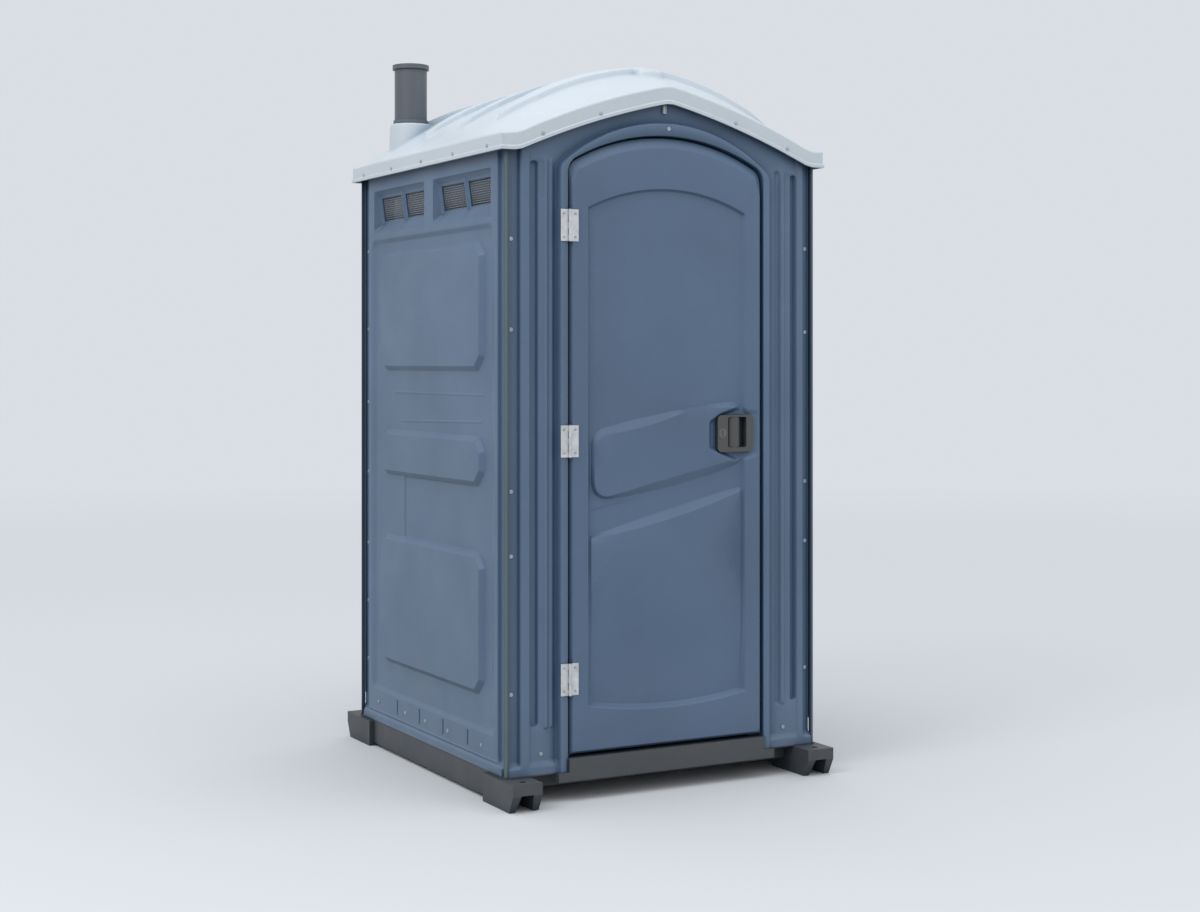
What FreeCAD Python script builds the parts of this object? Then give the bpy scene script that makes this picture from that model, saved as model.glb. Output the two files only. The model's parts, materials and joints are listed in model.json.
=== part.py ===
# Portable toilet cabin: skids, floor, moulded walls, door with latch, roof, vent pipe and fittings.
# Frame: X across the cabin, front face towards -Y, +Z up, ground at Z = 0. Millimetres.
import FreeCAD, Part
import math
import os

os.makedirs("parts", exist_ok=True)
V = FreeCAD.Vector
Z_UP = V(0, 0, 1)
Y_BACK = V(0, 1, 0)
ORIGIN = V(0, 0, 0)

# Overall sizes
cabin_width = 1105.0
cabin_depth = 1167.0
wall_bottom = 90.0
eaves_height = 1945.0
sheet = 4.0
fit_gap = 0.3
fastener_play = 0.1
reach_past = 1.0

# Skids
skid_width = 97.0
skid_length = 1334.0
skid_flare = 16.5
skid_height = 85.5
skid_block_length = 207.0
skid_mid_lift = 10.0
skid_end_undercut = 26.0
skid_end_face = 35.0
skid_pocket_width = 58.0
skid_pocket_height = 52.0
skid_pocket_depth = 150.0
skid_pocket_taper = 0.69
anchor_hole_diameter = 20.0
anchor_hole_inset = 35.0

# Floor pan, sill and bearers
pan_flange = 4.0
pan_rim_height = 82.0
pan_rim_wall = 5.0
floor_top = 116.0
floor_thickness = 6.0
sill_top = 131.0
sill_bottom = 62.0
sill_front = 603.5
sill_half_width = 385.0
bearer_width = 60.0
bearer_bottom = 40.0
bearer_offset = 500.0
tread_rib_height = 3.0
tread_rib_width = 12.0
tread_pitch = 60.0

# Wall relief levels, measured outwards from the cabin's face
level_flange = 0.0
level_border = -5.0
level_field = -14.0
level_pad = -4.0
level_channel = -16.0
relief_depth = 60.0

# Corner posts
post_face = 12.5
post_radius = 9.0
post_web = 3.0
post_arm = 36.0
channel_end = 522.0
border_inner = 495.0
border_slope = 30.0

# Side wall layout
flange_top = 112.0
flange_slope_top = 128.0
skirt_top = 205.0
skirt_slope = 10.0
ledge_bottom = 1722.0
ledge_slope = 13.0
head_rail_bottom = 1950.0
pad_half_length = 411.0
pad_bevel = 18.0
pad_chamfer = 44.0
upper_pad_bottom = 1290.0
upper_pad_top = 1692.0
middle_pad_bottom = 938.0
middle_pad_top = 1092.0
lower_pad_bottom = 303.0
lower_pad_top = 737.0
skirt_groove_width = 9.0
skirt_groove_pitch = 188.0
skirt_groove_shift = 20.5
skirt_groove_depth = 4.0
skirt_groove_count = 4

# Vent windows in the side walls
vent_inner_end = 35.0
vent_outer_end = 470.0
vent_bottom = 1757.0
vent_top = 1905.0
vent_depth_top = 18.0
vent_depth_bottom = 31.0
vent_side_slope = 0.55
vent_sill_rise = 36.0
vent_head_drop = 16.0
vent_bar_width = 32.0
vent_pane_margin = 10.0
screen_thickness = 1.6
screen_pitch = 16.0
screen_wire = 4.0
screen_overlap = 8.0

# Front frame
door_gap = 8.0
door_half_width = 342.0
door_bottom = 141.0
door_shoulder = 1888.0
door_crown = 2008.0
door_corner_radius = 45.0
bead_width = 30.0
bead_head_width = 44.0
bead_proud = 12.0
bead_slope = 6.0
stop_inner = 316.0
stop_face = 554.0
front_level = -4.0
front_channel_level = -16.0
rib_outer = 502.0
rib_inner = 469.0
flute_inner = 428.0
flute_bottom = 225.0
flute_top = 1925.0
ridge_inner = 408.0
frame_head_cover = 37.0

# Clip under the roof's apex
clip_x = -6.0
clip_top = 2112.0
clip_height = 26.0
clip_width = 14.0
clip_plate = 1.2
clip_prong_radius = 2.0
clip_prong_offset = 4.0

# Door leaf
door_thickness = 40.0
door_inner_skin = 4.0
panel_recess = 7.0
panel_half_width = 282.0
panel_bottom = 254.0
panel_bottom_sag = 26.0
panel_shoulder = 1786.0
panel_crown = 1852.0
door_edge_bevel = 8.0
head_bevel = 34.0
band_left = 250.0
band_left_low = 905.0
band_left_high = 1105.0
band_mid_x = 16.0
band_mid_low = 934.0
band_mid_high = 1166.0
band_right_low = 1003.0
band_right_high = 1199.0
band_raise = 5.0
lower_ridge_left = 790.0
lower_ridge_middle = 862.0
lower_ridge_right = 928.0
lower_raise = 3.0
latch_pocket_outline = ((275, 1187), (191, 1160), (147, 1134), (147, 1047), (250, 1003), (284, 1009))
latch_pocket_depth = 12.0

# Hinges
hinge_height = 96.0
hinge_leaf = 2.5
hinge_barrel_radius = 5.5
hinge_pin_radius = 3.0
hinge_leaf_reach = 30.0
hinge_knuckle_count = 5
hinge_play = 0.4
hinge_centres = (367.0, 1081.0, 1729.0)
hinge_rivet_radius = 4.0
hinge_rivet_offset = 35.0
hinge_rivet_x = 19.0
hinge_bore_play = 0.05
hinge_pin_head = 2.0
hinge_pin_head_radius = 4.5

# Latch
latch_axis_x = 196.0
latch_axis_z = 1096.0
housing_left = 178.0
housing_right = 310.0
housing_bottom = 1036.0
housing_top = 1152.0
housing_corner = 14.0
finger_corner = 7.0
housing_wall = 3.0
housing_depth = 31.5
housing_proud = 1.5
finger_left = 216.0
finger_right = 284.0
finger_bottom = 1050.0
finger_top = 1146.0
grip_left = 224.0
grip_right = 262.0
grip_thickness = 14.0
lock_disc_radius = 14.5
lock_disc_thickness = 4.0
coin_slot_width = 3.0
coin_slot_half_length = 10.2
coin_slot_depth = 2.0
spindle_radius = 5.0
spindle_play = 0.06
pinion_pitch_radius = 12.0
pinion_teeth = 12
pinion_tooth_height = 2.0
tooth_addendum = 1.5
tooth_half = 1.2
tooth_root_half = 1.8
tooth_tip_half = 0.6
rack_teeth_left = 4
rack_teeth_right = 1
bolt_height = 18.0
bolt_thickness = 10.0
bolt_retracted_tip = 304.0
bolt_length = 138.0
bolt_standoff = 8.5
bolt_play = 0.3
rack_foot = 1.0
latch_cover_left = 156.0
latch_cover_right = 306.0
latch_guide_left = 224.0
latch_cover_bottom = 1062.0
latch_cover_top = 1144.0
latch_cover_depth = 24.0
latch_cover_wall = 2.5
knob_radius = 21.0
knob_length = 20.0
knob_base = 6.0
knob_gap = 0.5
knob_grip_width = 9.0
knob_hub_wall = 2.0
strike_thickness = 2.0
strike_width = 26.0
strike_height = 90.0
strike_inset = 2.0

# Roof
roof_half_width = 574.0
roof_half_depth = 602.0
fascia_height = 52.0
lip_height = 11.0
lip_reach = 3.5
gable_flat_end = 518.0
gable_mid_x = 250.0
gable_mid_rise = 103.0
gable_rise = 171.0
vault_length = 460.0
vault_mid_x = 337.0
vault_mid_height = 2151.0
vault_crown = 2236.0
hip_mid_x = 290.0
hip_mid_height = 2089.0
roof_rib_width = 60.0
roof_rib_places = (-420.0, -140.0, 140.0, 420.0)
roof_rib_height = 9.0
roof_rib_end = 505.0
spine_half_width = 48.0
spine_half_length = 500.0

# Vent pipe
pipe_x = -455.0
pipe_y = 366.0
pipe_diameter = 110.0
pipe_wall = 3.2
pipe_top = 2324.0
pipe_rim_diameter = 124.0
pipe_rim_height = 15.0
pipe_rim_top = 2331.0
pipe_clearance = 1.0
boss_diameter = 146.0
boss_top = 2128.0
boot_height = 14.0
boot_wall = 4.0
spigot_height = 40.0
spigot_bore_radius = 48.0

# Tank, seat and lid
tank_front = 75.0
tank_back = 545.0
tank_half_width = 520.0
tank_wall = 6.0
deck_thickness = 8.0
deck_top = 470.0
deck_foot_drop = 24.0
deck_overhang = 8.0
seat_centre_y = 287.0
seat_outer_x = 185.0
seat_outer_y = 200.0
seat_hole_x = 118.0
seat_hole_y = 150.0
seat_thickness = 18.0
seat_lift = 6.0
lid_thickness = 12.0
lid_gap = 1.5
seat_edge_radius = 6.0
lid_edge_radius = 4.0
seat_bumper_radius = 9.0
lid_hinge_y = 510.0
lid_hinge_z = deck_top + 15.0
lid_hinge_radius = 6.0
lid_pin_radius = 3.0
lid_ear_inner = 58.0
lid_ear_outer = 76.0
lid_lug_width = 8.0
lid_arm_reach = 45.0
lid_open_angle = 94.0

# Interior fittings
urinal_y = -80.0
urinal_width = 230.0
urinal_height = 330.0
urinal_depth = 130.0
urinal_bottom = 560.0
urinal_wall = 4.0
urinal_back = 40.0
urinal_corner = 20.0
urinal_lip_height = 130.0
urinal_belly_height = 91.0
urinal_rim_drop = 8.0
drain_radius = 16.0
drain_wall = 3.0
drain_bend = 60.0
drain_end_height = 360.0
paper_y = 20.0
paper_z = 830.0
paper_width = 130.0
paper_reach = 90.0
paper_plate = 60.0
paper_wall = 4.0
paper_rod_radius = 9.0
paper_arm_height = 30.0
hook_y = -260.0
hook_z = 1600.0
hook_width = 15.0
hook_plate_height = 45.0
hook_plate_width = 30.0
hook_tip_rise = 22.5
hook_thickness = 4.0
hook_reach = 45.0

# Fasteners
rivet_head_radius = 6.5
rivet_head_height = 2.0
rivet_dome_radius = 1.2
rivet_shank_radius = 2.4
screw_head_radius = 5.5
screw_grip = 10.0
post_rivet_line = 550.0
frame_rivet_line = 527.0
rear_rivet_line = 531.0
frame_foot_rivet_x = 434.0
frame_foot_rivet_z = 150.0
floor_bolt_x = 515.0
floor_bolt_places = (-480.0, 20.0)
floor_bolt_radius = 5.0
floor_bolt_head = 9.0
floor_bolt_head_height = 3.0
floor_bolt_end = 72.0
post_rivet_heights = (287.0, 490.0, 691.0, 939.0, 1180.0, 1433.0, 1702.0)
frame_rivet_heights = (332.0, 742.0, 934.0, 1415.0, 1684.0)
skirt_rivet_places = (-427.0, -190.0, -25.0, 153.0, 404.0)
skirt_rivet_height = 156.0
fascia_screw_drop = 19.0
fascia_side_screws = (-500.0, -250.0, 0.0, 250.0, 500.0)
fascia_front_screws = (-437.0, -242.0, 242.0, 437.0)

# Places worked out from the sizes above
face_x = cabin_width / 2
face_y = cabin_depth / 2
wall_end = face_y - post_face - fit_gap
frame_end = face_x - post_face - fit_gap
opening_half = door_half_width + door_gap
bead_front = face_y + bead_proud
door_front = bead_front
door_back = door_front - door_thickness
hinge_axis_x = -(door_half_width + door_gap / 2)
hinge_axis_y = -(door_front + hinge_barrel_radius + fit_gap)
skid_outer = face_x + skid_flare
skid_inner = skid_outer - skid_width
floor_edge_z = skid_height + fit_gap
pan_rim_x = face_x + level_channel - sheet - fit_gap
rim_half_y = face_y + level_channel - sheet - fit_gap
margin = 3 * sheet
post_block_end = face_y + level_channel - sheet - fit_gap - post_web
wall_top = eaves_height + fascia_height - sheet - fit_gap
side_rail_level = roof_half_width - sheet - fit_gap - face_x
gable_rail_level = roof_half_depth - sheet - fit_gap - face_y
bolt_y = -(door_back - bolt_standoff)
knob_y = -(door_back - latch_cover_depth - knob_gap)


def box(x0, y0, z0, x1, y1, z1):
    """Box between two opposite corners."""
    return Part.makeBox(x1 - x0, y1 - y0, z1 - z0, V(x0, y0, z0))


def cylinder(radius, length, base, axis):
    """Cylinder from its base point along an axis."""
    return Part.makeCylinder(radius, length, base, axis)


def polygon_face(points):
    """Flat face through the given points."""
    return Part.Face(Part.makePolygon(points + [points[0]]))


def edges_face(edges):
    """Flat face bounded by the given edges."""
    return Part.Face(Part.Wire(Part.__sortEdges__(edges)))


def save(name, shape):
    """Write one named piece."""
    shape.exportStep("parts/" + name + ".step")


def fused(shapes):
    """Union of several solids with merged faces."""
    result = shapes[0]
    if len(shapes) > 1:
        result = shapes[0].fuse(shapes[1:])
    return result.removeSplitter()


def octagon(x0, z0, x1, z1, chamfer, y):
    """Rectangle with cut corners in a plane of constant Y."""
    return [
        V(x0 + chamfer, y, z0), V(x1 - chamfer, y, z0), V(x1, y, z0 + chamfer), V(x1, y, z1 - chamfer),
        V(x1 - chamfer, y, z1), V(x0 + chamfer, y, z1), V(x0, y, z1 - chamfer), V(x0, y, z0 + chamfer),
    ]


def raised_pad(x0, z0, x1, z1, face):
    """Pad with bevelled sides standing from the wall's field."""
    outer = octagon(x0, z0, x1, z1, pad_chamfer, -(face + level_field))
    inner = octagon(x0 + pad_bevel, z0 + pad_bevel, x1 - pad_bevel, z1 - pad_bevel, pad_chamfer,
                    -(face + level_pad))
    wires = [Part.makePolygon(outer + [outer[0]]), Part.makePolygon(inner + [inner[0]])]
    return Part.makeLoft(wires, True, True)


def profile_along_x(points, x0, x1):
    """Solid swept along X from an outline of (outward level, height) pairs."""
    outline = [V(x0, -level, height) for level, height in points]
    return polygon_face(outline).extrude(V(x1 - x0, 0, 0))


def profile_along_z(points, z0, z1):
    """Solid swept upwards from an outline of (x, y) pairs."""
    outline = [V(x, y, z0) for x, y in points]
    return polygon_face(outline).extrude(V(0, 0, z1 - z0))


def thin_sheet(relief, thickness):
    """Moulded sheet whose back follows its front, as thick on the steps as on the flats."""
    steps = (-thickness, 0, thickness)
    moves = [V(x, thickness, z) for x in steps for z in steps if x or z]
    inner = None
    for move in moves:
        copy = relief.copy()
        copy.translate(move)
        inner = copy if inner is None else inner.common(copy)
    return relief.cut(inner)


def turned(shape, degrees):
    """Copy turned about the vertical centre line."""
    result = shape.copy()
    result.rotate(ORIGIN, Z_UP, degrees)
    return result


def mirrored_x(shape):
    """Copy mirrored to the other side of the cabin."""
    return shape.mirror(ORIGIN, V(1, 0, 0))


# Gable lines

def gable_edges(lift, y, half_width):
    """Lower edge of the roof lip: flat ends and two arcs that meet at the apex."""
    low = eaves_height + lift
    left = V(-gable_flat_end, y, low)
    right = V(gable_flat_end, y, low)
    apex = V(0, y, low + gable_rise)
    left_mid = V(-gable_mid_x, y, low + gable_mid_rise)
    right_mid = V(gable_mid_x, y, low + gable_mid_rise)
    edges = [Part.Arc(left, left_mid, apex).toShape(), Part.Arc(apex, right_mid, right).toShape()]
    if half_width > gable_flat_end:
        edges.append(Part.makeLine(V(-half_width, y, low), left))
        edges.append(Part.makeLine(right, V(half_width, y, low)))
    return edges


def gable_band(low_lift, high_lift, half_width, half_depth):
    """Band of constant height that follows the gable, swept from front to back."""
    y = -half_depth
    edges = gable_edges(low_lift, y, half_width) + gable_edges(high_lift, y, half_width)
    for side in (-1, 1):
        x = side * half_width
        edges.append(Part.makeLine(V(x, y, eaves_height + low_lift), V(x, y, eaves_height + high_lift)))
    return edges_face(edges).extrude(V(0, 2 * half_depth, 0))


def under_gable(base, lift, half_width, y0, y1):
    """Everything below the gable line, down to a base height."""
    edges = gable_edges(lift, y0, half_width)
    low = eaves_height + lift
    edges.append(Part.makeLine(V(-half_width, y0, low), V(-half_width, y0, base)))
    edges.append(Part.makeLine(V(-half_width, y0, base), V(half_width, y0, base)))
    edges.append(Part.makeLine(V(half_width, y0, base), V(half_width, y0, low)))
    return edges_face(edges).extrude(V(0, y1 - y0, 0))


def arched_wire(half_width, bottom, shoulder, crown, corner, y):
    """Door outline: straight sides, rounded shoulders and an arched head, all tangent."""
    run = half_width - corner
    drop = shoulder - crown
    radius = (run ** 2 + drop ** 2 - corner ** 2) / (-2 * (drop + corner))
    centre_z = crown - radius
    reach = radius - corner
    slope_x, slope_z = run / reach, (shoulder - centre_z) / reach
    half_turn = math.atan2(slope_z, slope_x) / 2
    touch_z = centre_z + radius * slope_z
    touch_x = radius * slope_x
    edges = [Part.makeLine(V(-half_width, y, bottom), V(half_width, y, bottom))]
    for side in (1, -1):
        start = V(side * half_width, y, shoulder)
        middle = V(side * (run + corner * math.cos(half_turn)), y, shoulder + corner * math.sin(half_turn))
        end = V(side * touch_x, y, touch_z)
        edges.append(Part.makeLine(V(side * half_width, y, bottom), start))
        edges.append(Part.Arc(start, middle, end).toShape())
    edges.append(Part.Arc(V(touch_x, y, touch_z), V(0, y, crown), V(-touch_x, y, touch_z)).toShape())
    return Part.Wire(Part.__sortEdges__(edges))


def arched_prism(half_width, bottom, shoulder, crown, corner, y0, y1):
    """Solid with the door outline between two Y planes."""
    return Part.Face(arched_wire(half_width, bottom, shoulder, crown, corner, y0)).extrude(V(0, y1 - y0, 0))


# Skids

def skid():
    """Left skid: hollow runner with flared end blocks, end pockets open downwards and anchor holes."""
    half = skid_length / 2
    block_start = half - skid_block_length
    inner = -skid_inner
    outer = -skid_outer
    middle = box(-face_x, -block_start, skid_mid_lift, inner, block_start, skid_height)
    cavity = box(-face_x + sheet, -block_start + sheet, skid_mid_lift - sheet,
                 inner - sheet, block_start - sheet, skid_height - sheet)
    body = middle.cut(cavity)
    for end in (-1, 1):
        side_view = [
            V(outer, end * block_start, 0), V(outer, end * (half - skid_end_undercut), 0),
            V(outer, end * half, skid_height - skid_end_face), V(outer, end * half, skid_height),
            V(outer, end * block_start, skid_height),
        ]
        block = polygon_face(side_view).extrude(V(skid_width, 0, 0))
        centre = -(skid_inner + skid_outer) / 2
        pocket_half = skid_pocket_width / 2
        y0, y1 = sorted((end * (half - skid_pocket_depth), end * (half + 1)))
        pocket_head = pocket_half * skid_pocket_taper
        trapezoid = [
            V(centre - pocket_half, y0, 0), V(centre + pocket_half, y0, 0),
            V(centre + pocket_head, y0, skid_pocket_height), V(centre - pocket_head, y0, skid_pocket_height),
        ]
        block = block.cut(polygon_face(trapezoid).extrude(V(0, y1 - y0, 0)))
        hole = cylinder(anchor_hole_diameter / 2, skid_height + 2,
                        V(centre, end * (half - anchor_hole_inset), -1), Z_UP)
        block = block.cut(hole)
        body = body.fuse(block)
    return body.removeSplitter()


# Floor

def floor_pan():
    """Floor tray with an upstand inside the walls, an edge flange, tread ribs and the front sill."""
    edge_x = face_x - fit_gap
    edge_y = face_y - fit_gap
    rim_top = floor_edge_z + pan_rim_height
    flange = box(-edge_x, -edge_y, floor_edge_z, edge_x, edge_y, floor_edge_z + pan_flange)
    rim = box(-pan_rim_x, -rim_half_y, floor_edge_z, pan_rim_x, rim_half_y, rim_top)
    inner_x = pan_rim_x - pan_rim_wall
    inner_y = rim_half_y - pan_rim_wall
    hollow = box(-inner_x, -inner_y, floor_edge_z - 1, inner_x, inner_y, rim_top + 1)
    body = flange.fuse(rim).cut(hollow)
    floor = box(-inner_x, -inner_y, floor_top - floor_thickness, inner_x, inner_y, floor_top)
    notch = box(-(opening_half + bead_width), -rim_half_y - 1, floor_edge_z + pan_flange,
                opening_half + bead_width, -inner_y, rim_top + 1)
    body = body.cut(notch)
    doorway_half = opening_half - fit_gap
    sill_upper = box(-doorway_half, -sill_front, floor_edge_z, doorway_half, -inner_y, sill_top)
    sill_lower = box(-sill_half_width, -sill_front, sill_bottom, sill_half_width, -(face_y - 2 * fit_gap),
                     floor_edge_z + pan_flange)
    parts = [body, floor, sill_upper, sill_lower]
    tread_front = -inner_y + tread_pitch
    tread_count = int((tank_front - 2 * tread_pitch - tread_front) / tread_pitch)
    for index in range(tread_count):
        y = tread_front + index * tread_pitch
        parts.append(box(-inner_x + tread_pitch, y, floor_top, inner_x - tread_pitch, y + tread_rib_width,
                         floor_top + tread_rib_height))
    return fused(parts)


def bearer(y):
    """Cross bearer between the skids under the floor."""
    half = skid_inner - fit_gap
    return box(-half, y - bearer_width / 2, bearer_bottom, half, y + bearer_width / 2,
               floor_top - floor_thickness - fit_gap)


# Corner posts

def corner_post(wall_level):
    """Front left corner post: rounded outside corner with an arm behind each wall."""
    side_y = -(face_y - post_face)
    front_x = -(face_x - post_face)
    arm_x = -(face_x + level_channel - sheet - fit_gap)
    arm_y = -(face_y + wall_level - sheet - fit_gap)
    web_y = arm_y + post_web
    arm_end_y = side_y + 2 * post_arm
    arms_bottom = floor_edge_z + pan_rim_height + fit_gap
    corner = box(-face_x, -face_y, wall_bottom + fit_gap, front_x, side_y, wall_top)
    corner = corner.makeFillet(post_radius, [e for e in corner.Edges if stands_at(e, -face_x, -face_y)])
    arms = [
        (front_x - post_web, side_y), (front_x, side_y), (front_x, arm_y), (front_x + post_arm, arm_y),
        (front_x + post_arm, web_y), (arm_x + post_web, web_y), (arm_x + post_web, arm_end_y),
        (arm_x, arm_end_y), (arm_x, -post_block_end), (front_x - post_web, -post_block_end),
    ]
    return corner.fuse(profile_along_z(arms, arms_bottom, wall_top)).removeSplitter()


def stands_at(edge, x, y):
    """True for a vertical edge that stands at the given place."""
    points = [v.Point for v in edge.Vertexes]
    return len(points) == 2 and all(math.hypot(p.x - x, p.y - y) < fastener_play for p in points)


# Walls

def wall_base(half_length, face):
    """Relief shared by the side and rear walls: flange, skirt, borders, field and pads."""
    start, end = -half_length - margin, half_length + margin
    low, high = wall_bottom - margin, wall_top + margin
    channel = face + level_channel
    border = face + level_border
    field = face + level_field
    flange = face + level_flange
    section = [
        (face - relief_depth, low), (flange, low), (flange, flange_top), (channel, flange_slope_top),
        (channel, high), (face - relief_depth, high),
    ]
    raised = [
        (channel, flange_slope_top - skirt_slope), (border, flange_slope_top),
        (border, skirt_top - skirt_slope), (field, skirt_top), (field, ledge_bottom),
        (border, ledge_bottom + ledge_slope), (border, high), (channel, high),
    ]
    parts = [profile_along_x(section, start, end), profile_along_x(raised, -channel_end, channel_end)]
    for side in (-1, 1):
        slope_end = side * (border_inner - border_slope)
        outline = [
            (side * channel_end, -channel), (side * channel_end, -border), (side * border_inner, -border),
            (slope_end, -field), (slope_end, -channel),
        ]
        parts.append(profile_along_z(outline, flange_slope_top, ledge_bottom + ledge_slope))
    pads = (
        (upper_pad_bottom, upper_pad_top), (middle_pad_bottom, middle_pad_top),
        (lower_pad_bottom, lower_pad_top),
    )
    for pad_low, pad_high in pads:
        parts.append(raised_pad(-pad_half_length, pad_low, pad_half_length, pad_high, face))
    relief = fused(parts)
    for index in range(skirt_groove_count):
        x = (index - (skirt_groove_count - 1) / 2) * skirt_groove_pitch + skirt_groove_shift
        groove = box(x - skirt_groove_width / 2, -border - 1, flange_slope_top + skirt_slope,
                     x + skirt_groove_width / 2, -border + skirt_groove_depth, skirt_top - 2 * skirt_slope)
        relief = relief.cut(groove)
    return relief


def vent_floor_y(z):
    """Depth of the inclined vent floor at a height, as a Y coordinate."""
    low = vent_bottom + vent_sill_rise
    high = vent_top - vent_head_drop
    share = (z - low) / (high - low)
    return -(face_x + level_border) + vent_depth_bottom + share * (vent_depth_top - vent_depth_bottom)


def vent_frame(side):
    """Ends and heights of the flat floor of a vent window."""
    ends = sorted((side * vent_inner_end, side * vent_outer_end))
    inset = vent_depth_bottom * vent_side_slope
    return ends[0] + inset, ends[1] - inset, vent_bottom + vent_sill_rise, vent_top - vent_head_drop


def vent_recess(side):
    """Hollow of one vent window, deeper at its foot so that rain runs out over the sill."""
    ends = sorted((side * vent_inner_end, side * vent_outer_end))
    front = -(face_x + level_border)
    x0, x1, z0, z1 = vent_frame(side)
    y_low = vent_floor_y(z0)
    y_high = vent_floor_y(z1)
    high_inset = vent_depth_top * vent_side_slope
    mouth = [V(ends[0], front, vent_bottom), V(ends[1], front, vent_bottom),
             V(ends[1], front, vent_top), V(ends[0], front, vent_top)]
    floor = [V(x0, y_low, z0), V(x1, y_low, z0),
             V(ends[1] - high_inset, y_high, z1), V(ends[0] + high_inset, y_high, z1)]
    wires = [Part.makePolygon(mouth + [mouth[0]]), Part.makePolygon(floor + [floor[0]])]
    proud = Part.Face(wires[0]).extrude(V(0, -relief_depth, 0))
    return Part.makeLoft(wires, True, True).fuse(proud)


def vent_panes(side):
    """Two pane openings of a vent window, each side of its middle bar."""
    x0, x1, z0, z1 = vent_frame(side)
    x0, x1 = x0 + vent_pane_margin, x1 - vent_pane_margin
    middle = (x0 + x1) / 2
    half_bar = vent_bar_width / 2
    low, high = z0 + vent_pane_margin, z1 - vent_pane_margin
    return [(x0, low, middle - half_bar, high), (middle + half_bar, low, x1, high)]


def side_wall():
    """Side wall facing -Y in its own frame, with two vent windows."""
    relief = wall_base(wall_end, face_x)
    reach = wall_end + margin
    relief = relief.fuse(box(-reach, -(face_x + side_rail_level), head_rail_bottom,
                             reach, -(face_x - relief_depth), wall_top + margin))
    for side in (-1, 1):
        relief = relief.cut(vent_recess(side))
    wall = thin_sheet(relief.removeSplitter(), sheet)
    wall = wall.common(box(-wall_end, -2 * face_x, wall_bottom, wall_end, 0, wall_top))
    for side in (-1, 1):
        x0, x1 = sorted((side * (post_block_end - fit_gap), side * (wall_end + 1)))
        wall = wall.cut(box(x0, -(face_x - post_face + post_web + fit_gap), 0, x1, 0, wall_top + 1))
        for x0, z0, x1, z1 in vent_panes(side):
            wall = wall.cut(box(x0, -face_x, z0, x1, -face_x + relief_depth + sheet, z1))
    rails = [(x, z, side_rail_level) for x, z in side_screws()]
    return with_rivet_holes(wall, side_rivets() + rails, face_x)


def gable_rail(face, half_width):
    """Rail along the top of a gable wall, behind the roof's fascia."""
    front = -(face + gable_rail_level)
    lower = under_gable(ledge_bottom, lip_height, half_width + margin, front - reach_past, 0)
    back = -(face - relief_depth)
    upper = under_gable(ledge_bottom, frame_head_cover + margin, half_width + margin, front, back)
    return upper.cut(lower)


def rear_wall():
    """Rear wall in its own frame, carried up into the gable."""
    relief = wall_base(frame_end, face_y)
    lid = box(-face_x, -2 * face_y, head_rail_bottom, face_x, 0, wall_top + 2 * margin)
    gable = under_gable(head_rail_bottom, frame_head_cover + margin, frame_end + margin,
                        -(face_y + level_border), -(face_y - relief_depth))
    relief = fused([relief.cut(lid), gable, gable_rail(face_y, frame_end)])
    wall = thin_sheet(relief, sheet)
    limit = under_gable(wall_bottom, frame_head_cover, frame_end, -2 * face_y, 0)
    return with_rivet_holes(wall.common(limit), rear_rivets() + gable_rail_holes(), face_y)


def vent_screen(side):
    """Wire screen behind one vent window, lying along the sheet's inclined back."""
    x0, x1, z0, z1 = vent_frame(side)
    rise = z1 - z0
    run = vent_depth_bottom - vent_depth_top
    angle = math.degrees(math.atan2(run, rise))
    edge = vent_pane_margin - screen_overlap
    x0, x1 = x0 + edge, x1 - edge
    low = edge
    high = math.hypot(rise, run) - edge
    columns = int((x1 - x0 - screen_wire) / screen_pitch)
    rows = int((high - low - screen_wire) / screen_pitch)
    step_x = (x1 - x0 - screen_wire) / columns
    step_z = (high - low - screen_wire) / rows
    outline = rectangle(x0, low, x1, high)
    holes = []
    for column in range(columns):
        for row in range(rows):
            hole_x = x0 + screen_wire + column * step_x
            hole_z = low + screen_wire + row * step_z
            holes.append(rectangle(hole_x, hole_z, hole_x + step_x - screen_wire,
                                   hole_z + step_z - screen_wire))
    screen = Part.makeFace([outline] + holes, "Part::FaceMakerBullseye").extrude(V(0, screen_thickness, 0))
    screen.rotate(ORIGIN, V(1, 0, 0), angle)
    screen.translate(V(0, vent_floor_y(z0) + sheet * (1 + run / rise) + 2 * fit_gap, z0))
    return screen


def rectangle(x0, z0, x1, z1):
    """Rectangular wire in the plane Y = 0."""
    return Part.makePolygon([V(x0, 0, z0), V(x1, 0, z0), V(x1, 0, z1), V(x0, 0, z1), V(x0, 0, z0)])


# Front frame

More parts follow.
